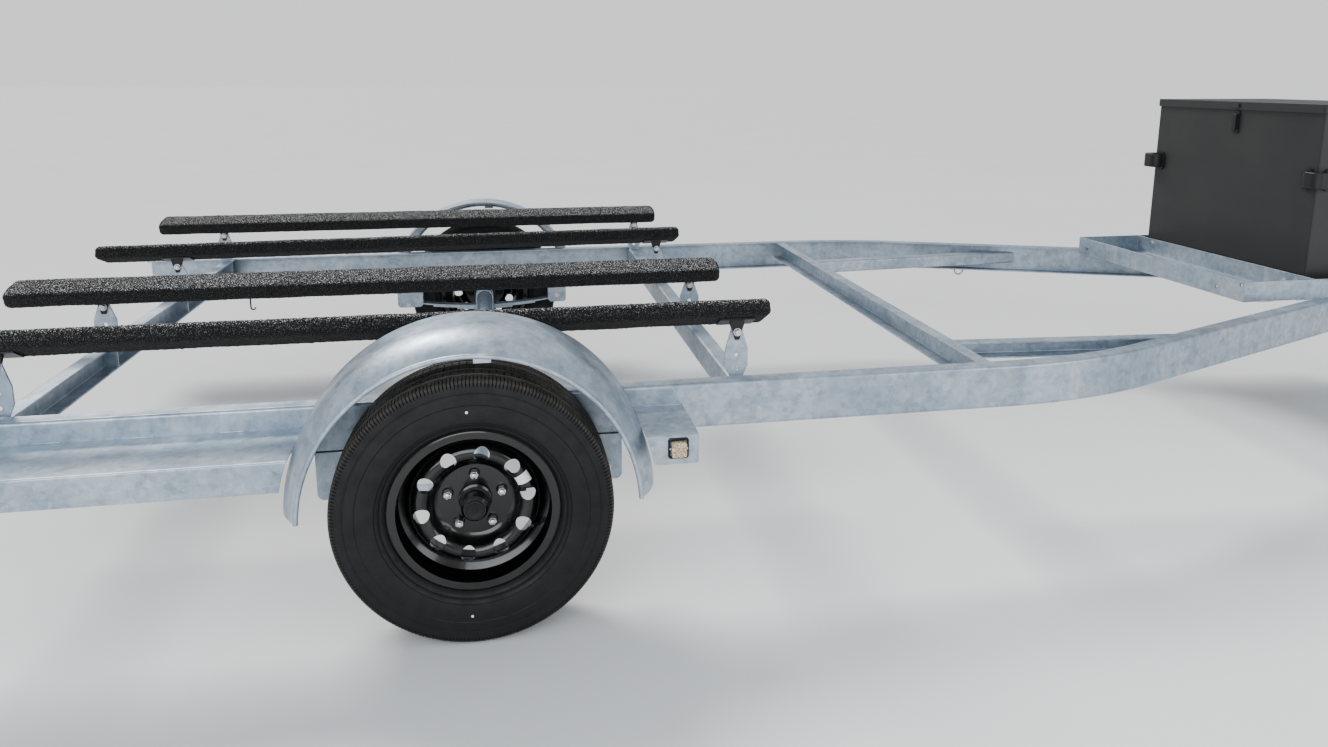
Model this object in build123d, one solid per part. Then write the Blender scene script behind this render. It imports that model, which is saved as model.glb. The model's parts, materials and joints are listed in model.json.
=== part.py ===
from build123d import *
from math import atan2, cos, degrees, hypot, radians, sin, tan
import os

# Single-axle boat trailer for two small craft. Millimetres.
# X runs forward to the coupler, Y to the trailer's left, Z up. The ground is z = 0.
# Everything is drawn with the wheel axis at x = 0 and moved along X when it is written.

# Tyres
tyre_radius = 344.5
tyre_half_width = 102.5
tyre_wall = 13.0
tread_wall = 17.0
tread_half_width = 88.0
tread_drop = 3.3
shoulder_drop = 11.5
shoulder_half_width = 99.0
shoulder_round = (5.9, 95.0)
widest_above_seat = 71.5
bead_width = 22.0
tyre_seat_gap = 0.3
tyre_flange_gap = 0.5

# Rims, a drop-centre section of one wall
rim_seat_radius = 190.5
rim_flange_height = 17.0
rim_half_width = 76.0
rim_wall = 3.0
rim_lip = 4.0
rim_heel = 3.0
rim_seat_taper = 2.0
well_depth = 26.5
well_back = (-48.0, -36.0)
well_front = (4.0, 20.0)

# Wheel discs, dished and drilled
disc_wall = 5.0
disc_pad_radius = 92.0
disc_knee = (104.0, 14.0)
disc_crown_start = (112.0, 32.0)
disc_crown = 44.0
disc_crown_end = (152.0, 34.0)
disc_turn = (158.0, 26.0)
disc_skirt_rise = 4.0
disc_skirt = 22.0
vent_count = 10
vent_circle = 132.0
vent_radius = 19.5
vent_start = -9.0
stud_count = 5
stud_circle = 69.85
stud_hole_radius = 7.5
stud_seat_radius = 14.0
stud_seat_rise = 3.0
hub_bore = 42.0

# Side rails, pressed as a C from plate
wheel_track_offset = 125.0
rail_outer = 1050.0
rail_above_axle = 222.5
rail_height = 127.0
rail_flange = 48.0
rail_wall = 4.8
rail_corner = 9.0
rail_rear = -1475.0
bend_vertex = 1808.0
bend_angle = 21.3
bend_radius = 1500.0
nose_half_width = 62.0

# Crossmembers, lower channels under the rails' top flanges
cross_height = 80.0
weld_gap = 4.5
crossmembers = (
    # node, web outer face x, opening direction along X
    ("crossmember_rear", -1160.0, 1),
    ("crossmember_middle", 697.0, 1),
    ("crossmember_front", 1503.0, -1),
)
gusset_wall = 6.0
gusset_corner = 6.0

# Stiffeners from the front crossmember out to the rails
stiffener_height = 55.0
stiffener_flange = 50.0
stiffener_inner = 650.0
stiffener_drop = 30.0
stiffener_angle = 4.5

# Angle tray over the converging rails
tray_half_width = 497.0
tray_behind_nose = 1552.089
tray_leg = 76.0
tray_wall = 6.4
tray_hole_radius = 6.5
tray_rear_holes = (
    # y, height above the tray's underside
    (436.0, 29.0),
    (-363.0, 28.0),
    (-481.0, 62.0),
)

# Storage box, seated on the flat legs of the tray
box_behind_nose = 1237.089
box_length = 560.0
box_half_width = 440.0
box_height = 716.6
box_wall = 2.5
box_corner = 8.0
box_gap = 5.0
lid_skirt = 32.0
lid_gap = 6.0
lid_rest_gap = 1.0
hinge_radius = 6.0
hinge_knuckle = 60.0
hinge_gap = 1.0
hinge_leaf = 10.0
hinge_spread = 330.0
latch_y = -20.0
latch_strap = (5.0, 30.0, 92.0)
latch_lever = (9.0, 18.0, 66.0)
latch_drop = 5.0
catch_size = (7.0, 34.0, 16.0)
handle_below_top = 280.0
handle_pad = (84.0, 46.0, 6.0)
handle_inset = 34.0
handle_stand = 34.0
handle_strap = (14.0, 62.0, 5.0)
handle_bend = 26.0

# Fenders and steps
fender_crown_gap = 107.5
fender_lip_gap = 61.5
fender_flat = 130.0
fender_width = 250.0
fender_shoulder = (14.0, 68.0)
fender_wall = 2.5
fender_bead = 6.0
fender_start = 3.0
fender_tab = (41.0, 3.0, 17.0)
fender_tab_x = 31.5
step_below_rail = 56.0
step_height = 75.0
step_width = 215.0
step_wall = 3.2
step_corner = 5.0
step_fender_gap = 1.0
step_overlap = 20.0
front_step_end = 556.0

# Axle, leaf springs and their hangers
axle_radius = 30.0
axle_end_gap = 20.0
spindle_radius = 17.0
spindle_tip_gap = 12.0
spring_width = 44.5
spring_leaf = 7.0
spring_leaves = (
    # reach towards the front eye, reach towards the rear end
    (0.0, 352.0),
    (240.0, 240.0),
    (130.0, 130.0),
)
spring_eye_x = 346.0
spring_eye_radius = 8.0
spring_pin_radius = 7.0
spring_side_gap = 1.5
spring_seat = (84.0, 50.0, 6.0)
spring_seat_gap = 0.6
hanger_wall = 5.0
hanger_below_eye = 34.0
front_hanger_half = 43.0
rear_hanger = (-402.0, -286.0)
rear_keeper_x = -352.0
ubolt_rod = 6.0
ubolt_gap = 0.5
clamp_plate = (104.0, 84.0, 9.0)
clamp_thread = 16.0

# Hubs
hub_clearance = 0.5
hub_flange_radius = 84.0
hub_flange = 12.0
hub_barrel_radius = 41.0
hub_seal_radius = 51.0
hub_seal = 8.0
hub_inset = 90.0
hub_pilot_gap = 1.0
hub_pilot = 12.0
hub_cap_radius = 33.0
hub_cap_reach = 68.0
hub_cap_corner = 6.0
hub_web = 6.0

# Bunks: padded boards that cradle the hulls
bunk_width = 105.0
bunk_thickness = 54.0
bunk_crown = 5.0
bunk_corner = 12.0
bunk_above_rail = 196.0
outer_bunk_inset = 100.0
inner_bunk_y = 370.0
bunk_front = 816.0
bracket_plate = 6.0
bracket_base = 37.0
bracket_waist = 65.0
bracket_waist_from = 32.0
bracket_waist_to = 78.0
bracket_tip_radius = 17.0
bracket_hole_radius = 6.5
bracket_holes = (24.0, 62.0)
swivel_length = 100.0
swivel_width = 56.0
swivel_wall = 5.0
swivel_below_plate = 26.0
ear_top = 40.0
ear_bottom = 12.0
ear_below_bolt = 22.0
swivel_gap = 0.5
swivel_bolt = 6.0
swivel_bolt_end = 5.0

# Lamps
tail_lamp_length = 152.0
tail_lamp_height = 56.0
tail_lamp_depth = 24.0
lamp_gap = 0.3
marker_lamp = (38.0, 16.0, 39.0)
marker_lamp_corner = 5.0
marker_lamp_x = 503.0
marker_lamp_above_step = 4.5

# Rod loop under the left rail
loop_x = 2350.0
loop_half = 22.0
loop_leg = 7.0
loop_rod = 4.0

# Coupler over the rails' nose
coupler_wall = 6.0
coupler_reach = 290.0
coupler_skirt = 62.0
coupler_fit = 0.2
neck_start = 80.0
neck_half_width = 39.0
neck_drop_start = 105.0
nose_thickness = 52.0
ball_radius = 25.4
ball_clearance = 0.4
socket_wall = 7.0
socket_lip = 12.0
ball_ahead = 150.0
ball_below_rail = 59.0
lever_back = 18.0
lever_front = 100.0
lever_width = 26.0
lever_pivot_radius = 12.0
lever_tip_radius = 7.0

# Tongue jack
jack_behind_nose = 190.0
jack_tube_radius = 28.5
jack_tube_wall = 2.7
jack_hole_gap = 1.0
jack_leg_radius = 25.3
jack_leg_wall = 3.0
jack_leg_floor = 10.0
jack_tube_below = 169.0
jack_tube_above = 333.0
jack_leg_inside = 252.0
jack_flange_radius = 64.0
jack_flange = 8.0
jack_flange_grip = 0.5
jack_bolt_inset = 13.0
jack_bolt_radius = 5.5
jack_bolts = 3
jack_wheel_radius = 76.0
jack_wheel_width = 44.0
jack_wheel_trail = 34.0
jack_wheel_edge = 6.0
jack_wheel_rim = 20.0
jack_wheel_web = 18.0
jack_wheel_hub = 20.0
jack_wheel_boss = 2.0
jack_axle_radius = 6.0
jack_axle_gap = 0.5
jack_axle_head = 4.0
fork_wall = 5.0
fork_gap = 6.0
fork_above_wheel = 24.0
fork_plate = 76.0
fork_plate_back = 6.0
fork_foot_radius = 16.0
fork_socket = 29.0
fork_socket_wall = 4.0
swivel_play = 0.5
crank_cap = (3.0, 24.0)
crank_reach = 135.0
crank_arm = (20.0, 18.0, 12.0)
crank_grip_radius = 11.0
crank_grip = 60.0

# Worked-out places
axle_height = tyre_radius
wheel_plane = rail_outer + wheel_track_offset
rail_top = axle_height + rail_above_axle
rail_bottom = rail_top - rail_height
slope = tan(radians(bend_angle))
nose_x = bend_vertex + (rail_outer - nose_half_width) / slope
tray_rear = nose_x - tray_behind_nose
box_rear = nose_x - box_behind_nose
jack_x = nose_x - jack_behind_nose
ball_x = nose_x + ball_ahead
ball_height = rail_top - ball_below_rail
socket_radius = ball_radius + ball_clearance + socket_wall
front_reach = ball_x + socket_radius
frame_shift = -(front_reach + rail_rear) / 2
cross_top = rail_top - rail_wall
step_top = rail_top - step_below_rail
step_outer = rail_outer + step_width
fender_crown_radius = tyre_radius + fender_crown_gap
fender_lip_radius = tyre_radius + fender_lip_gap
fender_outer = rail_outer + fender_width
rim_flange_radius = rim_seat_radius + rim_flange_height
rim_well_radius = rim_seat_radius - well_depth
fork_top = 2 * jack_wheel_radius + fork_above_wheel
box_bottom = rail_top + tray_wall
box_top = box_bottom + box_height
box_front = box_rear + box_length
tray_front = box_front + box_gap + tray_wall
tray_middle = box_rear - box_gap
lid_margin = lid_gap + box_wall
hinge_x = box_front + lid_margin + hinge_radius
hinge_z = box_top - lid_skirt
lid_knuckles = (-hinge_spread, hinge_spread)
body_knuckles = tuple(y + (hinge_knuckle + hinge_gap) * (1 if y > 0 else -1) for y in lid_knuckles)
spring_y = rail_outer - spring_width / 2 - spring_side_gap - hanger_wall
spring_top = axle_height - axle_radius - spring_seat[2] - spring_seat_gap
eye_rise = axle_height - spring_top
spring_radius = (spring_eye_x ** 2 + eye_rise ** 2 - spring_eye_radius ** 2) / (
    2 * (eye_rise - spring_eye_radius))
bunk_top = rail_top + bunk_above_rail
outer_bunk_y = rail_outer - outer_bunk_inset
bunks = (
    # node, y of the centre, lean of the top face towards +Y in degrees, rear end x,
    # height of the top's middle line at the rear end and at the front end
    ("bunk_right_outer", -outer_bunk_y, 28.0, -1395.0, bunk_top + 4, bunk_top + 4),
    ("bunk_right_inner", -inner_bunk_y, -17.0, -1390.0, bunk_top, bunk_top),
    ("bunk_left_inner", inner_bunk_y, 21.0, -1415.0, bunk_top - 17, bunk_top),
    ("bunk_left_outer", outer_bunk_y, -17.0, -1388.0, bunk_top, bunk_top),
)


def write(shape, node):
    """Moves a finished piece into the part's frame and writes it."""
    export_step(Pos(frame_shift, 0, 0) * shape, f"parts/{node}.step")


def write_pair(left, name):
    """Writes a piece of the left side and its mirror image on the right."""
    write(left, f"{name}_left")
    write(mirror(left, about=Plane.XZ), f"{name}_right")


def together(pieces):
    """Like pieces that share a node as separate solids."""
    return Compound(children=list(pieces))


def rail_line(x):
    """Distance of a rail's outer face from the centre line on its inclined run."""
    return rail_outer - (x - bend_vertex) * slope


def rail_face(depth):
    """Plane of the left rail's inclined run, this deep inside its outer face, facing out."""
    normal = Vector(sin(radians(bend_angle)), cos(radians(bend_angle)), 0)
    corner = Vector(bend_vertex, rail_outer, 0)
    return Plane(origin=corner - normal * depth, z_dir=normal)


def side_plane(y):
    """Upright plane along the trailer whose own axes are X and Z, facing right."""
    return Plane(origin=(0, y, 0), x_dir=(1, 0, 0), z_dir=(0, -1, 0))


def slab(face, y, width):
    """Side profile drawn in X and Z, this wide and centred on y."""
    return extrude(side_plane(y + width / 2) * face, width)


def channel_section(height, flange, wall, corner):
    """C section with rounded heels: web's outer face on x = 0, flanges towards +X."""
    outer = RectangleRounded(2 * flange, height, corner)
    inner = RectangleRounded(2 * (flange - wall), height - 2 * wall, corner - wall)
    half = Pos(-flange / 2, 0) * Rectangle(flange, height)
    return Pos(flange, 0) * ((outer - inner) & half)


def channel_bar(start, end, opening, height, flange, wall, corner):
    """Straight channel from start to end, whose web's outer face runs between the points."""
    run = Vector(*end) - Vector(*start)
    plane = Plane(origin=start, x_dir=opening, z_dir=run)
    return extrude(plane * channel_section(height, flange, wall, corner), run.length)


def angle_bar(start, end, inward):
    """Tray angle: upright leg on the line from start to end, flat leg inward at the bottom."""
    run = Vector(*end) - Vector(*start)
    plane = Plane(origin=start, x_dir=inward, z_dir=run)
    up = 1 if plane.y_dir.Z > 0 else -1
    upright = Pos(tray_wall / 2, up * tray_leg / 2) * Rectangle(tray_wall, tray_leg)
    flat = Pos(tray_leg / 2, up * tray_wall / 2) * Rectangle(tray_leg, tray_wall)
    return extrude(plane * (upright + flat), run.length)


def rail():
    """Left rail: straight from the rear, bent inward once, then straight to the nose."""
    tangent = bend_radius * tan(radians(bend_angle) / 2)
    aft = Line((rail_rear, rail_outer), (bend_vertex - tangent, rail_outer))
    bend = JernArc(aft @ 1, aft % 1, bend_radius, -bend_angle)
    fore = Line(bend @ 1, (nose_x, nose_half_width))
    path = Pos(0, 0, rail_top - rail_height / 2) * Wire([aft, bend, fore])
    plane = Plane(origin=path @ 0, x_dir=(0, -1, 0), z_dir=(1, 0, 0))
    section = plane * channel_section(rail_height, rail_flange, rail_wall, rail_corner)
    return sweep(section, path)


def crossmember(web_x, opening):
    """Channel between the rails, under their top flanges, short of their webs by a weld gap."""
    half = rail_outer - rail_wall - weld_gap
    z = cross_top - cross_height / 2
    return channel_bar((web_x, -half, z), (web_x, half, z), (opening, 0, 0),
                       cross_height, rail_flange, rail_wall, rail_corner)


def crossmember_gusset(web_x, opening, y):
    """Upright plate inside a crossmember, between its flanges, under a bunk's bracket."""
    width = rail_flange - rail_wall
    height = cross_height - 2 * rail_wall
    face = Rectangle(width, height)
    face = chamfer(face.vertices().filter_by_position(Axis.X, -width, 0), gusset_corner)
    if opening < 0:
        face = mirror(face, about=Plane.YZ)
    x = web_x + opening * (rail_wall + width / 2)
    return slab(Pos(x, cross_top - cross_height / 2) * face, y, gusset_wall)


def stiffener():
    """Low channel, open outward, from the front crossmember to the web of the left rail."""
    start_x = crossmembers[2][1]
    z = rail_top - stiffener_drop - stiffener_height / 2 - rail_wall
    along = Vector(cos(radians(stiffener_angle)), sin(radians(stiffener_angle)), 0)
    across = Vector(-along.Y, along.X, 0)
    start = Vector(start_x, stiffener_inner, z) - along * stiffener_flange
    end = start + along * (nose_x - start_x)
    bar = channel_bar(start, end, across,
                      stiffener_height, stiffener_flange, rail_wall, rail_corner)
    bar = split(bar, Plane(origin=(start_x, 0, 0), z_dir=(1, 0, 0)), keep=Keep.TOP)
    return split(bar, rail_face(rail_wall), keep=Keep.BOTTOM)


def tray_side():
    """Left side angle of the tray, between its end angles."""
    return angle_bar((tray_rear + tray_wall, tray_half_width, rail_top),
                     (tray_front - tray_wall, tray_half_width, rail_top), (0, -1, 0))


def tray_crosses(side):
    """The three angles across the tray, cut where the side angles' flat legs pass."""
    sides = side + mirror(side, about=Plane.XZ)
    inner = tray_half_width - tray_wall
    places = (
        # node, x of the upright leg's outer face, half length, way to the flat leg, holes
        ("tray_cross_rear", tray_rear, tray_half_width, 1, tray_rear_holes),
        ("tray_cross_middle", tray_middle, inner, -1, ()),
        ("tray_cross_front", tray_front, tray_half_width, -1, ()),
    )
    for node, x, half, inward, holes in places:
        bar = angle_bar((x, -half, rail_top), (x, half, rail_top), (inward, 0, 0)) - sides
        for y, height in holes:
            bar -= Pos(x, y, rail_top + height) * Rot(0, 90, 0) * Cylinder(tray_hole_radius, 4 * tray_wall)
        write(bar, node)


def box_support():
    """Channel under the tray's side, from the left rail's outer face forward."""
    z = rail_top - rail_height / 2
    bar = channel_bar((tray_rear, tray_half_width, z), (tray_front, tray_half_width, z),
                      (0, -1, 0), rail_height, rail_flange, rail_wall, rail_corner)
    return split(bar, rail_face(0), keep=Keep.TOP)


def fender():
    """Round fender over the left wheel, with a rolled bead and a small tab on its outer lip."""
    flat_end = rail_outer + fender_flat
    crown = fender_crown_radius
    lip = (fender_lip_radius, fender_outer - fender_bead)
    middle = (crown - fender_shoulder[0], flat_end + fender_shoulder[1])
    thin = fender_wall
    outside = Line((crown, rail_outer), (crown, flat_end))
    outside += ThreePointArc((crown, flat_end), middle, lip)
    inside = Line((crown - thin, flat_end), (crown - thin, rail_outer))
    inside += ThreePointArc((lip[0], lip[1] - thin), (middle[0] - thin, middle[1] - thin / 2),
                            (crown - thin, flat_end))
    ends = Line(lip, (lip[0], lip[1] - thin))
    ends += Line((crown - thin, rail_outer), (crown, rail_outer))
    skin = make_face(outside + ends + inside)
    skin += Pos(*lip) * Circle(fender_bead)
    axis = Axis((0, 0, axle_height), (0, -1, 0))
    swept = revolve(Pos(0, 0, axle_height) * skin, axis, 180 - 2 * fender_start)
    tab_z = axle_height + fender_lip_radius - fender_tab[2] / 2
    return swept.rotate(axis, fender_start) + Pos(fender_tab_x, lip[1], tab_z) * Box(*fender_tab)


def step(rear_x, front_x, lamp_hole):
    """Folded step outside the left rail: a top and three sides, open below and to the rail."""
    length = front_x - rear_x
    place = Pos((rear_x + front_x) / 2, rail_outer + step_width / 2, step_top - step_height / 2)
    block = Box(length, step_width, step_height)
    outer_top = block.edges().filter_by(Axis.X).group_by(Axis.Z)[-1].sort_by(Axis.Y)[-1]
    uprights = block.edges().filter_by(Axis.Z).group_by(Axis.Y)[-1]
    shell = place * fillet([outer_top] + uprights, step_corner)
    room = Box(length - 2 * step_wall, step_width, step_height)
    shell -= place * Pos(0, -step_wall, -step_wall) * room
    wheel_axis = Pos(0, rail_outer + step_width / 2, axle_height) * Rot(90, 0, 0)
    shell -= wheel_axis * Cylinder(fender_crown_radius + step_fender_gap, 2 * step_width)
    if lamp_hole:
        end = Pos(rear_x, rail_outer + step_width / 2, step_top - step_height / 2)
        slot = extrude(SlotOverall(tail_lamp_length, tail_lamp_height), 2 * step_wall, both=True)
        shell -= end * Rot(0, 90, 0) * Rot(0, 0, 90) * slot
    return shell


def tail_lamp():
    """Oval lamp through the end of the left rear step."""
    place = Pos(rail_rear, rail_outer + step_width / 2, step_top - step_height / 2)
    outline = SlotOverall(tail_lamp_length - 2 * lamp_gap, tail_lamp_height - 2 * lamp_gap)
    return place * Rot(0, 90, 0) * Rot(0, 0, 90) * extrude(outline, tail_lamp_depth)


def marker_lamp_left():
    """Small lamp on the outer face of the left front step."""
    lamp = Box(*marker_lamp)
    lamp = fillet(lamp.edges().filter_by(Axis.Y), marker_lamp_corner)
    z = step_top - step_height / 2 + marker_lamp_above_step
    return Pos(marker_lamp_x, step_outer + marker_lamp[1] / 2, z) * lamp


def axle_beam():
    """Round axle across the trailer, with a seat for each spring and a spindle at each end."""
    tube_half = wheel_plane - hub_inset - axle_end_gap
    across = Pos(0, 0, axle_height) * Rot(90, 0, 0)
    beam = across * Cylinder(axle_radius, 2 * tube_half)
    beam += across * Cylinder(spindle_radius, 2 * (wheel_plane - spindle_tip_gap))
    seat_length, seat_width, seat_height = spring_seat
    seat_z = axle_height - axle_radius - seat_height
    for side in (-1, 1):
        block = Box(seat_length, seat_width, axle_radius + seat_height)
        beam += Pos(0, side * spring_y, seat_z + (axle_radius + seat_height) / 2) * block
    return beam


def spring_point(depth, x):
    """Point of the spring at x, this deep under the main leaf's top face, in X and Z."""
    radius = spring_radius + depth
    return (x, spring_top + spring_radius - (radius ** 2 - x ** 2) ** 0.5)


def leaf_spring():
    """Left leaf spring: stacked leaves, the main one with an eye in front."""
    pack = None
    eye = (spring_eye_x, axle_height)
    centre_z = spring_top + spring_radius
    turn = spring_eye_x / (spring_radius - spring_eye_radius)
    for number, (front, rear) in enumerate(spring_leaves):
        top = number * spring_leaf
        bottom = top + spring_leaf
        if number == 0:
            front_top = ((spring_radius + top) * turn, centre_z - (spring_radius + top) * cos_of(turn))
            front_low = ((spring_radius + bottom) * turn, centre_z - (spring_radius + bottom) * cos_of(turn))
        else:
            front_top = spring_point(top, front)
            front_low = spring_point(bottom, front)
        rear_top = spring_point(top, -rear)
        rear_low = spring_point(bottom, -rear)
        outline = ThreePointArc(front_top, spring_point(top, 0), rear_top)
        outline += Line(rear_top, rear_low)
        outline += ThreePointArc(rear_low, spring_point(bottom, 0), front_low)
        outline += Line(front_low, front_top)
        leaf = make_face(outline)
        if number == 0:
            leaf += Pos(*eye) * Circle(spring_eye_radius + spring_leaf)
            leaf -= Pos(*eye) * Circle(spring_eye_radius)
        solid = slab(leaf, spring_y, spring_width)
        pack = solid if pack is None else pack + solid
    return pack


def cos_of(sine):
    """Cosine of the angle under a right angle that has this sine."""
    return (1 - sine ** 2) ** 0.5


def hanger_cheeks(outline):
    """Two upright plates of one outline, outside the left spring's sides."""
    reach = spring_width / 2 + spring_side_gap + hanger_wall / 2
    return [slab(outline, spring_y + side * reach, hanger_wall) for side in (-1, 1)]


def spring_hangers():
    """Folded hangers under the left rail: one holds the eye's pin, one the sliding end."""
    width = spring_width + 2 * (spring_side_gap + hanger_wall)
    low = axle_height - hanger_below_eye
    front = Pos(spring_eye_x, (rail_bottom + low) / 2) * Rectangle(2 * front_hanger_half, rail_bottom - low)
    front = fillet(front.vertices().group_by(Axis.Y)[0], hanger_below_eye / 2)
    rear_x = (rear_hanger[0] + rear_hanger[1]) / 2
    rear_length = rear_hanger[1] - rear_hanger[0]
    rear = Pos(rear_x, (rail_bottom + low) / 2) * Rectangle(rear_length, rail_bottom - low)
    rear = fillet(rear.vertices().group_by(Axis.Y)[0], hanger_below_eye / 2)
    end_z = spring_point(0, rear_hanger[0])[1]
    keeper_z = spring_point(spring_leaf, rear_keeper_x)[1] - spring_pin_radius - spring_side_gap
    pieces = []
    for outline, x, length, pin_x, pin_z in (
        (front, spring_eye_x, 2 * front_hanger_half, spring_eye_x, axle_height),
        (rear, rear_x, rear_length, rear_keeper_x, keeper_z),
    ):
        hanger = Pos(x, spring_y, rail_bottom - hanger_wall / 2) * Box(length, width, hanger_wall)
        for cheek in hanger_cheeks(outline):
            hanger += cheek
        hanger += Pos(pin_x, spring_y, pin_z) * Rot(90, 0, 0) * Cylinder(spring_pin_radius, width)
        pieces.append(hanger)
    rub_z = end_z + spring_side_gap + hanger_wall / 2
    pieces[1] += Pos(rear_x, spring_y, rub_z) * Box(rear_length, width, hanger_wall)
    return together(pieces)


def axle_clamp():
    """Plate under the left spring and the two U-bolts that hold it up to the axle."""
    plate_length, plate_width, plate_height = clamp_plate
    pack_bottom = spring_top - spring_leaf * len(spring_leaves)
    plate_z = pack_bottom - ubolt_gap - plate_height / 2
    clamp = Pos(0, spring_y, plate_z) * Box(plate_length, plate_width, plate_height)
    bend = axle_radius + ubolt_gap + ubolt_rod
    foot = plate_z - plate_height / 2 - clamp_thread
    path = Line((-bend, foot), (-bend, axle_height))
    path += ThreePointArc((-bend, axle_height), (0, axle_height + bend), (bend, axle_height))
    path += Line((bend, axle_height), (bend, foot))
    reach = spring_seat[1] / 2 + ubolt_gap + ubolt_rod
    for side in (-1, 1):
        wire = side_plane(spring_y + side * reach) * Wire(path.edges())
        rod = sweep(Plane(origin=wire @ 0, z_dir=wire % 0) * Circle(ubolt_rod), wire)
        clamp += rod
    return clamp


def turned(profile, y):
    """Body turned about the wheel axis from a profile of (radius, outward) points at plane y."""
    axis = Axis((0, 0, axle_height), (0, 1, 0))
    return revolve(Pos(0, y, axle_height) * profile, axis, 360)


def hub():
    """Left hub with its seal lip, barrel, flange and cap, bored blind for the spindle."""
    bore = spindle_radius + hub_clearance
    pilot = hub_bore - hub_pilot_gap
    outline = Polyline(
        (bore, -hub_inset), (hub_seal_radius, -hub_inset), (hub_seal_radius, hub_seal - hub_inset),
        (hub_barrel_radius, hub_seal - hub_inset), (hub_barrel_radius, -hub_flange),
        (hub_flange_radius, -hub_flange), (hub_flange_radius, 0), (pilot, 0), (pilot, hub_pilot),
        (hub_cap_radius, hub_pilot + disc_wall), (hub_cap_radius, hub_cap_reach - hub_cap_corner),
        (hub_cap_radius - hub_cap_corner, hub_cap_reach), (0, hub_cap_reach), (0, -hub_web),
        (bore, -hub_web), close=True)
    return turned(make_face(outline), wheel_plane)


def rim_section():
    """Pressed rim: two flanges, two bead seats and a drop centre, one wall thick."""
    low_seat = rim_seat_radius - rim_seat_taper
    heel_radius = rim_flange_radius - rim_heel
    well = [(well_back[0], low_seat), (well_back[1], rim_well_radius),
            (well_front[0], rim_well_radius), (well_front[1], low_seat)]
    front = [(rim_half_width, rim_seat_radius), (rim_half_width, heel_radius),
             (rim_half_width + rim_lip, rim_flange_radius)]
    back = [(-outward, radius) for outward, radius in reversed(front)]
    tyre_side = [(radius, outward) for outward, radius in back + well + front]
    air_side = [(radius - rim_wall, outward) for outward, radius in well]
    right = rim_half_width + rim_wall
    heel = [(heel_radius, right + rim_lip / 2), (rim_seat_radius - rim_wall, right)]
    toe = [(radius, -outward) for radius, outward in reversed(heel)]
    return make_face(Polyline(*tyre_side, *heel, *air_side[::-1], *toe, close=True))


def disc_section():
    """Dished wheel disc of one wall, from the centre bore to a skirt seated in the rim's well."""
    skirt = rim_well_radius - rim_wall
    crown = (vent_circle, disc_crown)
    front = Line((hub_bore, disc_wall), (disc_pad_radius, disc_wall))
    front += ThreePointArc((disc_pad_radius, disc_wall), disc_knee, disc_crown_start)
    front += ThreePointArc(disc_crown_start, crown, disc_crown_end)
    front += ThreePointArc(disc_crown_end, disc_turn, (skirt, disc_skirt_rise))
    front += Line((skirt, disc_skirt_rise), (skirt, -disc_skirt))
    return make_face(offset(Wire(front.edges()), amount=disc_wall, side=Side.RIGHT, closed=True))


def wheel():
    """Left wheel: rim and dished disc with round vents and raised, countersunk stud seats."""
    body = turned(rim_section(), wheel_plane) + turned(disc_section(), wheel_plane)
    centre = Pos(0, wheel_plane, axle_height) * Rot(-90, 0, 0)
    vents = PolarLocations(vent_circle, vent_count, start_angle=vent_start)
    body -= centre * vents * Cylinder(vent_radius, 4 * disc_crown)
    studs = PolarLocations(stud_circle, stud_count, start_angle=-90)
    face = disc_wall + stud_seat_rise
    seat = Cone(stud_seat_radius, stud_seat_radius - stud_seat_rise, stud_seat_rise)
    body += centre * studs * (Pos(0, 0, face - stud_seat_rise / 2) * seat)
    body -= centre * studs * Cylinder(stud_hole_radius, 4 * disc_wall)
    sink = Cone(stud_hole_radius, stud_hole_radius + stud_seat_rise, stud_seat_rise)
    return body - centre * studs * (Pos(0, 0, face - stud_seat_rise / 2) * sink)


def tyre():
    """Left tyre with rounded sidewalls and squared shoulders, open towards the rim."""
    seat = rim_seat_radius + tyre_seat_gap
    bead_out = rim_half_width - tyre_flange_gap
    bead_in = bead_out - bead_width
    wall_start = (rim_flange_radius + rim_heel, bead_out)
    widest = (rim_seat_radius + widest_above_seat, tyre_half_width)
    shoulder = (tyre_radius - shoulder_drop, shoulder_half_width)
    tread_edge = (tyre_radius - tread_drop, tread_half_width)
    round_at = (tyre_radius - shoulder_round[0], shoulder_round[1])
    inner_wall = (widest[0], tyre_half_width - tyre_wall)
    inner_shoulder = (shoulder[0] - tread_wall, shoulder_half_width - tread_wall)
    half = ThreePointArc(inner_shoulder, inner_wall, (seat, bead_in))
    half += Line((seat, bead_in), (seat, bead_out))
    half += Line((seat, bead_out), wall_start)
    half += TangentArc(widest, wall_start, tangent=(-1, 0))
    half += TangentArc(widest, shoulder, tangent=(1, 0))
    half += ThreePointArc(shoulder, round_at, tread_edge)
    crown = ThreePointArc((tread_edge[0], -tread_edge[1]), (tyre_radius, 0), tread_edge)
    inner_crown = ThreePointArc(inner_shoulder, (tyre_radius - tread_wall, 0),
                                (inner_shoulder[0], -inner_shoulder[1]))
    return turned(make_face(crown + half + inner_crown + mirror(half, about=Plane.XZ)), wheel_plane)


def bunk_frame(row):
    """Frame at the middle of a bunk's top: X along the bunk, Z out of its leant top."""
    _, y, lean, rear_x, rear_top, front_top = row
    pitch = degrees(atan2(front_top - rear_top, bunk_front - rear_x))
    middle = Pos((rear_x + bunk_front) / 2, y, (rear_top + front_top) / 2)
    return middle * Rot(0, -pitch, 0) * Rot(-lean, 0, 0)


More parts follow.
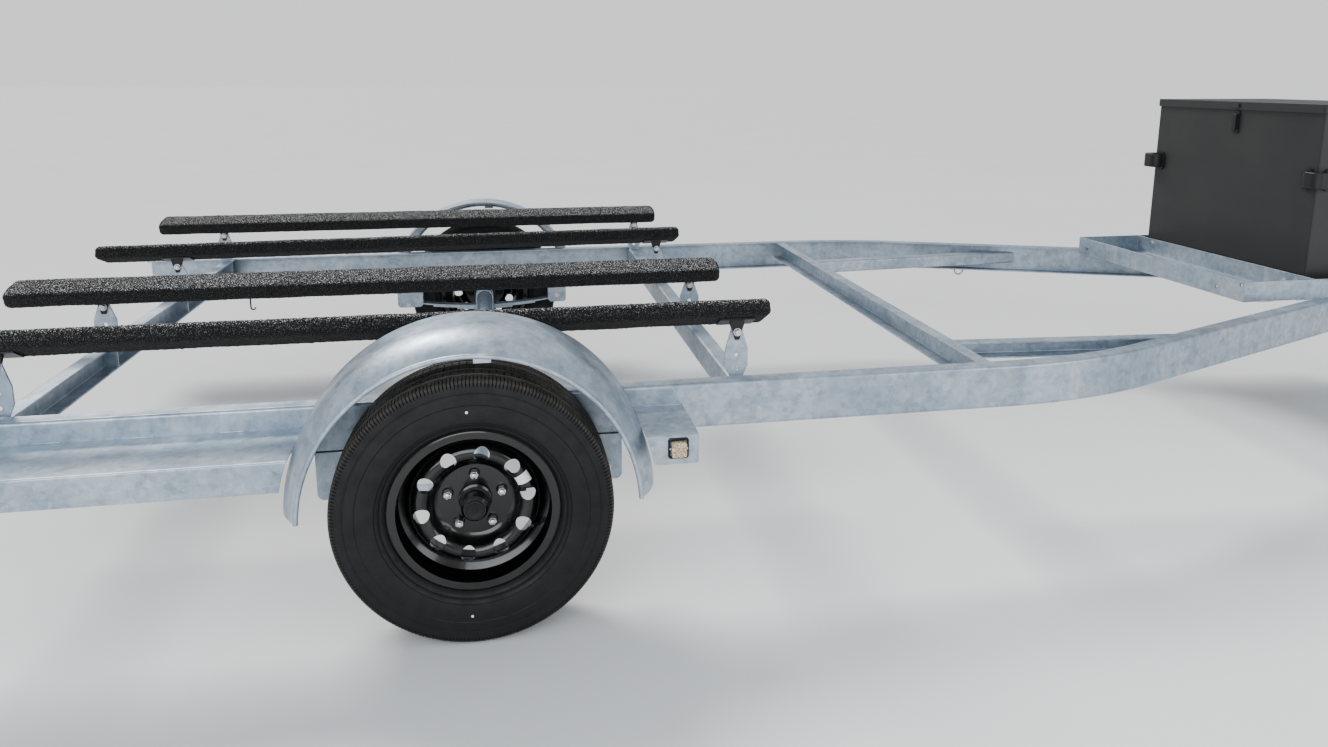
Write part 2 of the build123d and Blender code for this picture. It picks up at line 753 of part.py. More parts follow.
def bunk(row):
    """Board wrapped in pad: crowned section with rounded corners and ends."""
    _, _, _, rear_x, rear_top, front_top = row
    length = hypot(bunk_front - rear_x, front_top - rear_top)
    half = bunk_width / 2
    sides = Polyline((-half, -bunk_crown), (-half, -bunk_thickness), (half, -bunk_thickness), (half, -bunk_crown))
    section = make_face(sides + ThreePointArc((half, -bunk_crown), (0, 0), (-half, -bunk_crown)))
    section = fillet(section.vertices(), bunk_corner)
    board = Pos(-length / 2, 0, 0) * extrude(Plane.YZ * section, length)
    ends = board.faces().sort_by(Axis.X)
    board = fillet(ends[0].edges() + ends[-1].edges(), bunk_corner - 2)
    return bunk_frame(row) * board


def bracket_stations():
    """Middle of the flange of each crossmember that carries the bunks."""
    return [web_x + opening * rail_flange / 2 for _, web_x, opening in crossmembers[:2]]


def bunk_seat(row, x):
    """Frame in the middle of a bunk's underside over this station, square to the bunk."""
    _, _, _, rear_x, _, _ = row
    return bunk_frame(row) * Pos(x - (rear_x + bunk_front) / 2, 0, -bunk_thickness)


def swivel_pivot(row, x):
    """Point of the swivel bolt's middle under a bunk."""
    return (bunk_seat(row, x) * Pos(0, 0, -swivel_wall - swivel_below_plate)).position


def bunk_upright(row, x):
    """Waisted plate with a round tip between a crossmember's flange and a bunk's swivel."""
    pivot = swivel_pivot(row, x)
    half = bracket_waist / 2
    foot = Polyline((-bracket_base / 2, 0), (-half, bracket_waist_from), (half, bracket_waist_from),
                    (bracket_base / 2, 0), close=True)
    rise = pivot.Z - cross_top
    waist = Pos(0, (bracket_waist_from + bracket_waist_to) / 2) * Rectangle(
        bracket_waist, bracket_waist_to - bracket_waist_from)
    tip = Pos(0, rise) * Circle(bracket_tip_radius)
    face = make_face(foot) + make_hull(waist.edges() + tip.edges())
    for height in bracket_holes:
        face -= Pos(0, height) * Circle(bracket_hole_radius)
    face -= Pos(0, rise) * Circle(swivel_bolt + swivel_gap)
    return slab(Pos(x, cross_top) * face, pivot.Y, bracket_plate)


def bunk_swivel(row, x):
    """Leant top plate with two tapered ears and the bolt that passes through the upright."""
    pivot = swivel_pivot(row, x)
    seat = bunk_seat(row, x)
    head = seat * Pos(0, 0, -swivel_wall / 2) * Box(swivel_length, swivel_width, swivel_wall)
    over = swivel_below_plate + swivel_width / 2
    ear = Polyline((-ear_bottom / 2, -ear_below_bolt), (ear_bottom / 2, -ear_below_bolt),
                   (ear_top / 2, swivel_below_plate), (ear_top / 2, over), (-ear_top / 2, over),
                   (-ear_top / 2, swivel_below_plate), close=True)
    ear_y = bracket_plate / 2 + swivel_gap + swivel_wall / 2
    for side in (-1, 1):
        head += slab(Pos(x, pivot.Z) * make_face(ear), pivot.Y + side * ear_y, swivel_wall)
    head -= seat * Pos(0, 0, over) * Box(2 * swivel_length, 2 * over, 2 * over)
    bolt_length = 2 * (ear_y + swivel_wall / 2 + swivel_bolt_end)
    return head + Pos(x, pivot.Y, pivot.Z) * Rot(90, 0, 0) * Cylinder(swivel_bolt, bolt_length)


def frame_loop():
    """Rod loop under the left rail, beside the stiffener's end."""
    down = Line((-loop_half, 0), (-loop_half, -loop_leg))
    turn = ThreePointArc(down @ 1, (0, -loop_leg - loop_half), (loop_half, -loop_leg))
    rise = Line(turn @ 1, (loop_half, 0))
    y = rail_line(loop_x) - rail_flange / 2
    plane = Plane(origin=(loop_x, y, rail_bottom), x_dir=(1, 0, 0), z_dir=(0, -1, 0))
    wire = plane * Wire([down, turn, rise])
    return sweep(Plane(origin=wire @ 0, z_dir=wire % 0) * Circle(loop_rod), wire)


def tub(length, width, height, corner, wall, floor_down):
    """Sheet tub with rounded upright corners, closed below, or above if floor_down is false."""
    outer = fillet(Box(length, width, height).edges().filter_by(Axis.Z), corner)
    inner = Box(length - 2 * wall, width - 2 * wall, height)
    inner = fillet(inner.edges().filter_by(Axis.Z), corner - wall)
    return outer - Pos(0, 0, wall if floor_down else -wall) * inner


def box_body():
    """Open-topped sheet box."""
    height = box_height - box_wall - lid_rest_gap
    place = Pos((box_rear + box_front) / 2, 0, box_bottom + height / 2)
    return place * tub(box_length, 2 * box_half_width, height, box_corner, box_wall, True)


def box_lid():
    """Lid with a skirt all round that stands clear of the box, its catch and its knuckles."""
    place = Pos((box_rear + box_front) / 2, 0, box_top - lid_skirt / 2)
    lid = place * tub(box_length + 2 * lid_margin, 2 * (box_half_width + lid_margin), lid_skirt,
                      box_corner + lid_margin, box_wall, False)
    for y in lid_knuckles:
        lid += knuckle(y) + knuckle_leaf(y, 1)
    catch_x = box_rear - lid_margin - catch_size[0] / 2
    return lid + Pos(catch_x, latch_y, box_top - lid_skirt / 2) * Box(*catch_size)


def knuckle(y):
    """One barrel of the lid's hinge."""
    return Pos(hinge_x, y, hinge_z) * Rot(90, 0, 0) * Cylinder(hinge_radius, hinge_knuckle)


def knuckle_leaf(y, up):
    """Plate from a barrel to the lid's skirt above it or to the box's wall below it."""
    rise = hinge_radius + hinge_leaf
    leaf_x = hinge_x - hinge_radius + box_wall / 2
    return Pos(leaf_x, y, hinge_z + up * rise / 2) * Box(box_wall, hinge_knuckle, rise)


def box_hinges():
    """Barrels and leaves fixed to the front wall of the box."""
    leaf_front = hinge_x - hinge_radius + box_wall
    spacer_x = (box_front + leaf_front) / 2
    spacer_z = hinge_z - hinge_radius - hinge_leaf + lid_margin / 2
    hinges = []
    for y in body_knuckles:
        spacer = Pos(spacer_x, y, spacer_z) * Box(leaf_front - box_front, hinge_knuckle, lid_margin)
        hinges.append(knuckle(y) + knuckle_leaf(y, -1) + spacer)
    return together(hinges)


def box_latch():
    """Hasp on the rear wall, under the lid's catch: a strap with a raised lever."""
    top = box_top - lid_skirt - latch_drop
    strap = Pos(box_rear - latch_strap[0] / 2, latch_y, top - latch_strap[2] / 2) * Box(*latch_strap)
    lever_x = box_rear - latch_strap[0] - latch_lever[0] / 2
    lever = Box(*latch_lever)
    lever = fillet(lever.edges().filter_by(Axis.Y).group_by(Axis.X)[0], latch_lever[0] / 3)
    return strap + Pos(lever_x, latch_y, top - latch_strap[2] / 2) * lever


def corner_handle():
    """Moulded handle round the box's left rear corner: a pad on each face and a bent strap."""
    z = box_top - handle_below_top
    rear_pad_y = box_half_width - box_corner - handle_inset
    side_pad_x = box_rear + box_corner + handle_inset
    tall, wide, thick = handle_pad
    pad = extrude(SlotOverall(tall, wide), thick)
    rear_pad = Pos(box_rear, rear_pad_y, z) * Rot(0, -90, 0) * pad
    side_pad = Pos(side_pad_x, box_half_width, z) * Rot(-90, 0, 0) * Rot(0, 0, 90) * pad
    out_x = box_rear - handle_stand
    out_y = box_half_width + handle_stand
    path = FilletPolyline((box_rear, rear_pad_y, z), (out_x, rear_pad_y, z), (out_x, out_y, z),
                          (side_pad_x, out_y, z), (side_pad_x, box_half_width, z), radius=handle_bend)
    start = Plane(origin=path @ 0, x_dir=(0, 1, 0), z_dir=(-1, 0, 0))
    strap = sweep(start * RectangleRounded(*handle_strap), path)
    return rear_pad + side_pad + strap


def coupler_profile(shrink):
    """Plan outline of the coupler over the converging rails, its walls set in by this much."""
    back_x = nose_x - coupler_reach
    fit = coupler_fit + coupler_wall - shrink
    tip = neck_half_width + coupler_wall - shrink
    line = [(back_x, rail_line(back_x) + fit), (nose_x, nose_half_width + fit),
            (nose_x + neck_start, tip), (ball_x, tip)]
    if shrink:
        line[0] = (back_x - coupler_wall, rail_line(back_x - coupler_wall) + fit)
    wedge = make_face(Polyline(*line, *[(x, -y) for x, y in reversed(line)], close=True))
    return wedge + Pos(ball_x, 0) * Circle(socket_radius if not shrink else tip)


def coupler_sides(shrink):
    """Side outline of the coupler, whose top slopes down to the ball, set in by this much."""
    back_x = nose_x - coupler_reach - shrink
    top = rail_top + coupler_wall - shrink
    low = rail_top + coupler_wall - coupler_skirt - shrink
    nose_top = low + nose_thickness
    front_x = ball_x + 2 * socket_radius
    return make_face(Polyline((back_x, low), (back_x, top), (nose_x + neck_drop_start, top),
                              (ball_x, nose_top), (front_x, nose_top), (front_x, low), close=True))


def coupler_block(shrink):
    """Solid under both outlines of the coupler at once."""
    tall = 4 * coupler_skirt
    plan = Pos(0, 0, rail_top - tall / 2) * extrude(coupler_profile(shrink), tall)
    return plan & slab(coupler_sides(shrink), 0, 8 * coupler_skirt)


def coupler():
    """Pressed coupler over the rails' nose, with a sloping neck and a ball socket open below."""
    body = coupler_block(0) - coupler_block(coupler_wall)
    cup_top = rail_top + coupler_wall - coupler_skirt + nose_thickness
    cup_low = ball_height - socket_lip
    body += Pos(ball_x, 0, (cup_top + cup_low) / 2) * Cylinder(socket_radius, cup_top - cup_low)
    bore = ball_radius + ball_clearance
    body -= Pos(ball_x, 0, ball_height) * Sphere(bore)
    body -= Pos(ball_x, 0, ball_height - 2 * bore) * Cylinder(bore, 4 * bore)
    return body - Pos(jack_x, 0, rail_top) * Cylinder(jack_tube_radius + jack_hole_gap, coupler_skirt)


def coupler_latch():
    """Hand lever that lies on the neck."""
    top = rail_top + coupler_wall
    pivot = Pos(nose_x + lever_back, top + lever_pivot_radius) * Circle(lever_pivot_radius)
    tip = Pos(nose_x + lever_front, top + lever_tip_radius) * Circle(lever_tip_radius)
    return slab(make_hull(pivot.edges() + tip.edges()), 0, lever_width)


def jack_tube():
    """Fixed tube of the jack, with the flange that is bolted to the coupler's top plate."""
    plate_top = rail_top + coupler_wall
    height = jack_tube_above + jack_tube_below
    middle = rail_top + (jack_tube_above - jack_tube_below) / 2
    tube = Pos(0, 0, middle) * Cylinder(jack_tube_radius, height)
    tube -= Pos(0, 0, middle - 2 * jack_tube_wall) * Cylinder(jack_tube_radius - jack_tube_wall, height)
    flange = Cylinder(jack_flange_radius, jack_flange)
    flange -= Cylinder(jack_tube_radius - jack_flange_grip, jack_flange)
    flange -= PolarLocations(jack_flange_radius - jack_bolt_inset, jack_bolts, start_angle=60) * Cylinder(
        jack_bolt_radius, jack_flange)
    return Pos(jack_x, 0, 0) * (tube + Pos(0, 0, plate_top + jack_flange / 2) * flange)


def jack_crank():
    """Crank on top of the jack: cap, arm and upright grip."""
    top = rail_top + jack_tube_above
    cap_over, cap_height = crank_cap
    arm_extra, arm_width, arm_height = crank_arm
    cap = Pos(0, 0, top + cap_height / 2) * Cylinder(jack_tube_radius + cap_over, cap_height)
    arm = fillet(Box(crank_reach + arm_extra, arm_width, arm_height).edges().filter_by(Axis.Z), arm_width / 2.2)
    arm_z = top + cap_height
    grip = Pos(crank_reach, 0, arm_z + arm_height + crank_grip / 2) * Cylinder(crank_grip_radius, crank_grip)
    grip = fillet(grip.edges().filter_by(GeomType.CIRCLE), crank_grip_radius / 3)
    stem = Pos(crank_reach, 0, arm_z + arm_height) * Cylinder(crank_grip_radius / 2, arm_height)
    return Pos(jack_x, 0, 0) * (cap + Pos(crank_reach / 2, 0, arm_z + arm_height / 2) * arm + grip + stem)


def jack_leg():
    """Sliding tube of the jack."""
    bottom = fork_top + fork_socket + swivel_play
    top = rail_top - jack_tube_below + jack_leg_inside
    height = top - bottom
    leg = Pos(0, 0, bottom + height / 2) * Cylinder(jack_leg_radius, height)
    leg -= Pos(0, 0, bottom + height / 2 + jack_leg_floor) * Cylinder(jack_leg_radius - jack_leg_wall, height)
    return Pos(jack_x, 0, 0) * leg


def jack_fork():
    """Swivelling fork that holds the jack's wheel."""
    half_inside = jack_wheel_width / 2 + fork_gap
    fork = Pos(0, 0, fork_top + fork_socket / 2) * Cylinder(jack_leg_radius + fork_socket_wall, fork_socket)
    plate = Box(fork_plate, 2 * (half_inside + fork_wall), fork_wall)
    fork += Pos(-fork_plate_back, 0, fork_top - fork_wall / 2) * plate
    foot = Pos(-jack_wheel_trail, jack_wheel_radius) * Circle(fork_foot_radius)
    top = Pos(-fork_plate_back, fork_top - fork_wall) * Rectangle(fork_plate, 2 * fork_wall)
    cheek = make_hull(foot.edges() + top.edges())
    for side in (-1, 1):
        fork += slab(cheek, side * (half_inside + fork_wall / 2), fork_wall)
    axle = Pos(-jack_wheel_trail, 0, jack_wheel_radius) * Rot(90, 0, 0)
    fork += axle * Cylinder(jack_axle_radius, 2 * (half_inside + fork_wall + jack_axle_head))
    return Pos(jack_x, 0, 0) * fork


def jack_wheel():
    """Solid wheel of the jack with a crowned tread and a recessed web."""
    half = jack_wheel_width / 2
    bore = jack_axle_radius + jack_axle_gap
    edge = jack_wheel_radius - jack_wheel_edge
    rim = jack_wheel_radius - jack_wheel_rim
    boss = half + jack_wheel_boss
    side = [(edge, half), (rim, half), (rim - jack_wheel_boss, jack_wheel_web / 2),
            (jack_wheel_hub + jack_wheel_boss, jack_wheel_web / 2), (jack_wheel_hub, boss), (bore, boss)]
    outline = Polyline(*side, *[(radius, -y) for radius, y in reversed(side)])
    face = make_face(outline + ThreePointArc((edge, -half), (jack_wheel_radius, 0), (edge, half)))
    axis = Axis((0, 0, jack_wheel_radius), (0, 1, 0))
    return Pos(jack_x - jack_wheel_trail, 0, 0) * revolve(Pos(0, 0, jack_wheel_radius) * face, axis, 360)


os.makedirs("parts", exist_ok=True)

write_pair(rail(), "rail")
for node, web_x, opening in crossmembers:
    write(crossmember(web_x, opening), node)
write_pair(stiffener(), "stiffener")
write_pair(tray_side(), "tray_side")
tray_crosses(tray_side())
write_pair(box_support(), "box_support")
write_pair(fender(), "fender")
write_pair(step(fender_lip_radius - step_overlap, front_step_end, False), "step_front")
write_pair(step(rail_rear, step_overlap - fender_lip_radius, True), "step_rear")
write_pair(tail_lamp(), "tail_lamp")
write_pair(marker_lamp_left(), "marker_lamp")
write(frame_loop(), "frame_loop")

write(axle_beam(), "axle_beam")
write_pair(leaf_spring(), "leaf_spring")
write_pair(spring_hangers(), "spring_hangers")
clamp = axle_clamp()
write(together([clamp, mirror(clamp, about=Plane.XZ)]), "axle_clamps")
write_pair(hub(), "hub")
write_pair(wheel(), "wheel")
write_pair(tyre(), "tyre")

for row in bunks:
    write(bunk(row), row[0])
places = [(row, x) for x in bracket_stations() for row in bunks]
write(together(bunk_upright(*place) for place in places), "bunk_uprights")
write(together(bunk_swivel(*place) for place in places), "bunk_swivels")
gussets = [crossmember_gusset(web_x, opening, swivel_pivot(row, web_x + opening * rail_flange / 2).Y)
           for _, web_x, opening in crossmembers[:2] for row in bunks]
write(together(gussets), "crossmember_gussets")

write(box_body(), "box_body")
write(box_hinges(), "box_hinges")
write(box_latch(), "box_latch")
handle = corner_handle()
write(together([handle, mirror(handle, about=Plane.XZ)]), "box_handles")
write(box_lid(), "box_lid")

write(coupler(), "coupler")
write(coupler_latch(), "coupler_latch")
write(jack_tube(), "jack_tube")
write(jack_crank(), "jack_crank")
write(jack_leg(), "jack_leg")
write(jack_fork(), "jack_fork")
write(jack_wheel(), "jack_wheel")
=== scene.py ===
import json
from math import atan2, cos, hypot, pi, radians, sin, sqrt, tan

import bpy
from mathutils import Matrix, Vector, noise


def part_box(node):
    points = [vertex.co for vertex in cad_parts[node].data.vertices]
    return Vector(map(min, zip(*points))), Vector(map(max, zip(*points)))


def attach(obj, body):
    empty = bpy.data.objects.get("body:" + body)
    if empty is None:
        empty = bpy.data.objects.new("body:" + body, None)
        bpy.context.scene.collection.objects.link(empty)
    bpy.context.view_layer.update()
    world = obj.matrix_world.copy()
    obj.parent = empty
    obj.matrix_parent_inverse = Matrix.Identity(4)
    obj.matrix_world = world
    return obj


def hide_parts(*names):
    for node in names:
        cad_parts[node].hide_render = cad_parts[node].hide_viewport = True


# Metres, in the trailer's frame: +X forward to the coupler, +Y to its left, ground at z = 0.
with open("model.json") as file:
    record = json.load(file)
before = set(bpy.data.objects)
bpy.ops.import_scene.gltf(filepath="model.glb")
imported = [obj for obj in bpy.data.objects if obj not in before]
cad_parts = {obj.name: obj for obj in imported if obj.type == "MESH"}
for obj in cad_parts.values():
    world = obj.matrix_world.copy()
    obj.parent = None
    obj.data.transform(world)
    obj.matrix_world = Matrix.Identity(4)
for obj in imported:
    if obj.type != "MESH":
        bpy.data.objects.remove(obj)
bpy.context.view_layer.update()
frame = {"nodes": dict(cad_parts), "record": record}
nodes = frame["nodes"]

# Without a seed, vector noise takes its offset from the clock and the weld beads change with each run
noise.seed_set(1)

SIDES = (("left", 1), ("right", -1))


def centre(node):
    """Middle of a node's box."""
    low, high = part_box(node)
    return (Vector(low) + Vector(high)) / 2


AXLE_X, WHEEL_Y, AXLE_Z = centre("tyre_left")
TYRE_RADIUS = AXLE_Z
RAIL_LOW, RAIL_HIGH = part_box("rail_left")
RAIL_Y = RAIL_HIGH[1]
RAIL_TOP = RAIL_HIGH[2]
RAIL_BOTTOM = RAIL_LOW[2]


class Finish:
    """A material under construction: its node tree and its Principled shader."""

    def __init__(self, name, **values):
        self.material = bpy.data.materials.new(name)
        self.material.use_nodes = True
        self.nodes = self.material.node_tree.nodes
        self.links = self.material.node_tree.links
        self.shader = self.nodes["Principled BSDF"]
        for socket, value in values.items():
            self.shader.inputs[socket.replace("_", " ")].default_value = value
        self.place = self.nodes.new("ShaderNodeTexCoord").outputs["Object"]

    def feed(self, socket, source):
        """Links a source into one of the shader's sockets."""
        self.links.new(source, self.shader.inputs[socket])

    def stretched(self, x, y, z):
        """Object coordinates scaled along each axis."""
        node = self.nodes.new("ShaderNodeMapping")
        node.inputs["Scale"].default_value = (x, y, z)
        self.links.new(self.place, node.inputs["Vector"])
        return node.outputs["Vector"]

    def noise(self, scale, detail=3.0, roughness=0.55, place=None):
        """Cloudy grey."""
        node = self.nodes.new("ShaderNodeTexNoise")
        node.inputs["Scale"].default_value = scale
        node.inputs["Detail"].default_value = detail
        node.inputs["Roughness"].default_value = roughness
        self.links.new(place or self.place, node.inputs["Vector"])
        return node.outputs["Fac"]

    def cells(self, scale, output="Color"):
        """Grains: a colour for each, or the distance from its middle."""
        node = self.nodes.new("ShaderNodeTexVoronoi")
        node.inputs["Scale"].default_value = scale
        self.links.new(self.place, node.inputs["Vector"])
        return node.outputs[output]

    def ramp(self, source, *stops):
        """Colour ramp; each stop is (position, colour or grey)."""
        node = self.nodes.new("ShaderNodeValToRGB")
        band = node.color_ramp.elements
        while len(band) < len(stops):
            band.new(1.0)
        for element, (position, colour) in zip(band, stops):
            if isinstance(colour, (int, float)):
                colour = (colour, colour, colour)
            element.position = position
            element.color = (*colour, 1.0)
        self.links.new(source, node.inputs["Fac"])
        return node.outputs["Color"]

    def mix(self, factor, a, b, blend="MIX"):
        """Mixes two colours, each a source or a plain colour, by a source or a number."""
        node = self.nodes.new("ShaderNodeMix")
        node.data_type = "RGBA"
        node.blend_type = blend
        for socket, value in ((node.inputs[0], factor), (node.inputs[6], a), (node.inputs[7], b)):
            if isinstance(value, bpy.types.NodeSocket):
                self.links.new(value, socket)
            elif isinstance(value, tuple):
                socket.default_value = (*value, 1.0)
            else:
                socket.default_value = value
        return node.outputs[2]

    def upward(self, low, high):
        """Grey that runs from 0 to 1 as a surface turns from level to facing up."""
        split = self.nodes.new("ShaderNodeSeparateXYZ")
        self.links.new(self.nodes.new("ShaderNodeNewGeometry").outputs["Normal"], split.inputs[0])
        return self.ramp(split.outputs["Z"], (low, 0.0), (high, 1.0))

    def eased(self, radius):
        """Normal with every edge of the mesh rounded over, as rolled and dipped steel is."""
        node = self.nodes.new("ShaderNodeBevel")
        node.samples = 4
        node.inputs["Radius"].default_value = radius
        return node.outputs["Normal"]

    def from_axle(self, inside, outside):
        """Grey that runs from 0 to 1 between two distances from the wheels' axis."""
        near = self.nodes.new("ShaderNodeVectorMath")
        near.operation = "SUBTRACT"
        self.links.new(self.place, near.inputs[0])
        near.inputs[1].default_value = (AXLE_X, 0.0, AXLE_Z)
        flat = self.nodes.new("ShaderNodeVectorMath")
        flat.operation = "MULTIPLY"
        self.links.new(near.outputs[0], flat.inputs[0])
        flat.inputs[1].default_value = (1.0, 0.0, 1.0)
        length = self.nodes.new("ShaderNodeVectorMath")
        length.operation = "LENGTH"
        self.links.new(flat.outputs[0], length.inputs[0])
        return self.ramp(length.outputs["Value"], (inside, 0.0), (outside, 1.0))

    def bump(self, source, strength, distance, under=None):
        """Normal raised by a grey source, over another normal if one is given."""
        node = self.nodes.new("ShaderNodeBump")
        node.inputs["Strength"].default_value = strength
        node.inputs["Distance"].default_value = distance
        self.links.new(source, node.inputs["Height"])
        if under is not None:
            self.links.new(under, node.inputs["Normal"])
        return node.outputs["Normal"]


def galvanised():
    """Hot-dip zinc: bluish, mottled, with spangle, grey blooms and run marks."""
    f = Finish("galvanised", Metallic=0.62)
    cloud = f.noise(3.1, 5.0, 0.62)
    blotch = f.noise(17.0, 4.0, 0.7)
    runs = f.noise(9.0, 4.0, 0.65, f.stretched(1.0, 1.0, 0.18))
    spangle = f.cells(62.0)
    body = f.ramp(cloud, (0.30, (0.26, 0.315, 0.375)), (0.52, (0.37, 0.425, 0.48)), (0.75, (0.47, 0.515, 0.56)))
    body = f.mix(f.ramp(blotch, (0.46, 0.0), (0.68, 0.60)), body, (0.20, 0.25, 0.305))
    body = f.mix(0.42, body, f.ramp(spangle, (0.1, 0.44), (0.9, 0.90)), "SOFT_LIGHT")
    body = f.mix(f.ramp(runs, (0.58, 0.0), (0.76, 0.55)), body, (0.66, 0.69, 0.715))
    body = f.mix(0.22, body, f.ramp(f.noise(420.0, 2.0), (0.35, 0.35), (0.65, 0.72)), "SOFT_LIGHT")
    f.feed("Base Color", body)
    f.feed("Roughness", f.ramp(f.noise(14.0, 5.0, 0.7), (0.3, 0.30), (0.7, 0.52)))
    under = f.bump(spangle, 0.06, 0.002, f.eased(0.0016))
    f.feed("Normal", f.bump(f.noise(160.0, 4.0, 0.6), 0.18, 0.0012, under))
    return f.material


def carpet():
    """Black looped marine carpet with sparse pale flecks; on faces turned up, dense near-white flecks are a
    painted highlight where the light falls on top.
    """
    f = Finish("bunk_carpet", Metallic=0.0, Roughness=0.97, Sheen_Weight=0.05, Sheen_Roughness=0.5)
    tuft = f.cells(300.0, "Distance")
    # Mask of faces turned up, for the painted highlight of dense flecks
    top = f.upward(0.42, 0.88)
    body = f.ramp(f.noise(60.0, 4.0, 0.7), (0.3, 0.003), (0.7, 0.010))
    tips = f.ramp(f.cells(200.0, "Distance"), (0.18, 1.0), (0.34, 0.0))
    fine = f.ramp(f.cells(380.0, "Distance"), (0.14, 1.0), (0.36, 0.0))
    thick = f.ramp(f.noise(90.0, 3.0, 0.7), (0.36, 0.55), (0.62, 1.0))
    sparse = f.mix(f.ramp(f.cells(230.0), (0.78, 0.0), (0.82, 0.25)), (0.0, 0.0, 0.0), tips)
    # Painted highlight: flecks dense and near white on faces turned up, few on the sides; thick only makes the
    # highlight patchy
    dense = f.mix(f.mix(top, (0.06, 0.06, 0.06), thick), (0.0, 0.0, 0.0), f.mix(1.0, tips, fine, "ADD"))
    body = f.mix(sparse, body, (0.25, 0.25, 0.25))
    # Painted shade: darker in the pit at the middle of each tuft, where the bump sinks
    body = f.mix(f.ramp(tuft, (0.0, 0.6), (0.6, 0.0)), body, (0.003, 0.003, 0.004))
    body = f.mix(dense, body, (0.95, 0.95, 0.94))
    f.feed("Base Color", body)
    under = f.bump(f.noise(700.0, 3.0, 0.8), 0.8, 0.002)
    f.feed("Normal", f.bump(tuft, 1.0, 0.003, under))
    return f.material


def gloss_black():
    """Powder-coated wheel steel with a little dust."""
    f = Finish("wheel_black", Metallic=0.0, Coat_Weight=0.6, Coat_Roughness=0.08)
    dust = f.noise(16.0, 5.0, 0.7)
    f.feed("Base Color", f.ramp(dust, (0.35, (0.003, 0.003, 0.0035)), (0.8, (0.012, 0.0115, 0.011))))
    f.feed("Roughness", f.ramp(dust, (0.3, 0.16), (0.75, 0.34)))
    f.feed("Normal", f.bump(f.noise(240.0, 2.0), 0.10, 0.0006, f.eased(0.0008)))
    return f.material


def rubber(name, dusty, tread=None):
    """Black rubber with dust in its pores; a tread is dustier beyond this radius."""
    f = Finish(name, Metallic=0.0)
    dust = f.noise(7.0, 6.0, 0.7)
    body = f.ramp(dust, (0.35, (0.005, 0.0052, 0.006)), (0.75, (dusty, dusty * 0.96, dusty * 0.92)))
    if tread:
        worn = f.ramp(f.noise(24.0, 5.0, 0.75), (0.3, (0.050, 0.046, 0.040)), (0.7, (0.115, 0.104, 0.088)))
        body = f.mix(f.from_axle(tread, tread + 0.006), body, worn)
    f.feed("Base Color", body)
    f.feed("Roughness", f.ramp(f.noise(30.0, 4.0), (0.3, 0.50), (0.7, 0.74)))
    under = f.bump(f.noise(900.0, 2.0), 0.20, 0.0008)
    f.feed("Normal", f.bump(f.noise(60.0, 5.0, 0.7), 0.10, 0.001, under))
    return f.material


def satin_paint(name, dark, light, roughness, peel=0.0008):
    """Sprayed paint with orange peel and slight unevenness."""
    f = Finish(name, Metallic=0.0, Specular_IOR_Level=0.45)
    wash = f.noise(2.2, 5.0, 0.6)
    f.feed("Base Color", f.ramp(wash, (0.3, dark), (0.75, light)))
    f.feed("Roughness", f.ramp(f.noise(9.0, 5.0, 0.7), (0.3, roughness), (0.75, roughness + 0.14)))
    f.feed("Normal", f.bump(f.noise(330.0, 2.0), 0.18, peel, f.eased(0.001)))
    return f.material


def zinc():
    """Bright plated fasteners."""
    f = Finish("zinc_plate", Metallic=1.0)
    f.feed("Base Color", f.ramp(f.noise(90.0, 4.0), (0.3, (0.52, 0.52, 0.50)), (0.7, (0.76, 0.76, 0.74))))
    f.feed("Roughness", f.ramp(f.noise(160.0, 4.0), (0.3, 0.24), (0.7, 0.44)))
    return f.material


def lens(name, deep, bright):
    """Moulded lens over a reflector with fine optics; the middle of each optic is painted light, a painted
    reflection of the reflector.
    """
    f = Finish(name, Metallic=0.0, Roughness=0.12, Coat_Weight=0.5, Coat_Roughness=0.05)
    optics = f.cells(260.0, "Distance")
    # Painted reflection: bright at each optic's middle, deep (the lens's own colour) towards its edge
    f.feed("Base Color", f.ramp(optics, (0.05, bright), (0.6, deep)))
    f.feed("Normal", f.bump(optics, 0.35, 0.0015))
    return f.material


def plain_label():
    """Blank white label stock."""
    f = Finish("label_stock", Metallic=0.0, Roughness=0.45)
    f.feed("Base Color", f.ramp(f.noise(60.0, 3.0), (0.3, 0.74), (0.7, 0.82)))
    return f.material


GALVANISED = galvanised()
CARPET = carpet()
WHEEL_BLACK = gloss_black()
TYRE_RUBBER = rubber("tyre_rubber", 0.013, 0.333)
JACK_RUBBER = rubber("jack_rubber", 0.020)
BLACK_STEEL = satin_paint("black_steel", (0.010, 0.010, 0.011), (0.028, 0.028, 0.030), 0.34)
BOX_PAINT = satin_paint("box_paint", (0.030, 0.030, 0.031), (0.046, 0.045, 0.044), 0.38)
ZINC = zinc()
RED_LENS = lens("red_lens", (0.16, 0.002, 0.002), (0.62, 0.02, 0.015))
AMBER_LENS = lens("amber_lens", (0.36, 0.25, 0.14), (0.84, 0.78, 0.68))
LABEL = plain_label()

SLOT_FINISH = {
    "galvanised": GALVANISED,
    "carpet": CARPET,
    "black_steel": BLACK_STEEL,
    "box_paint": BOX_PAINT,
    "wheel_paint": WHEEL_BLACK,
    "tyre_rubber": TYRE_RUBBER,
    "red_lens": RED_LENS,
    "amber_lens": AMBER_LENS,
    "bright_steel": ZINC,
    "wheel_rubber": JACK_RUBBER,
}


def dress_frame():
    """Gives every carried-over node the finish of its material slot."""
    for part in frame["record"]["subparts"]:
        mesh = nodes[part["node"]].data
        mesh.materials.clear()
        mesh.materials.append(SLOT_FINISH[part["material_slot"]])


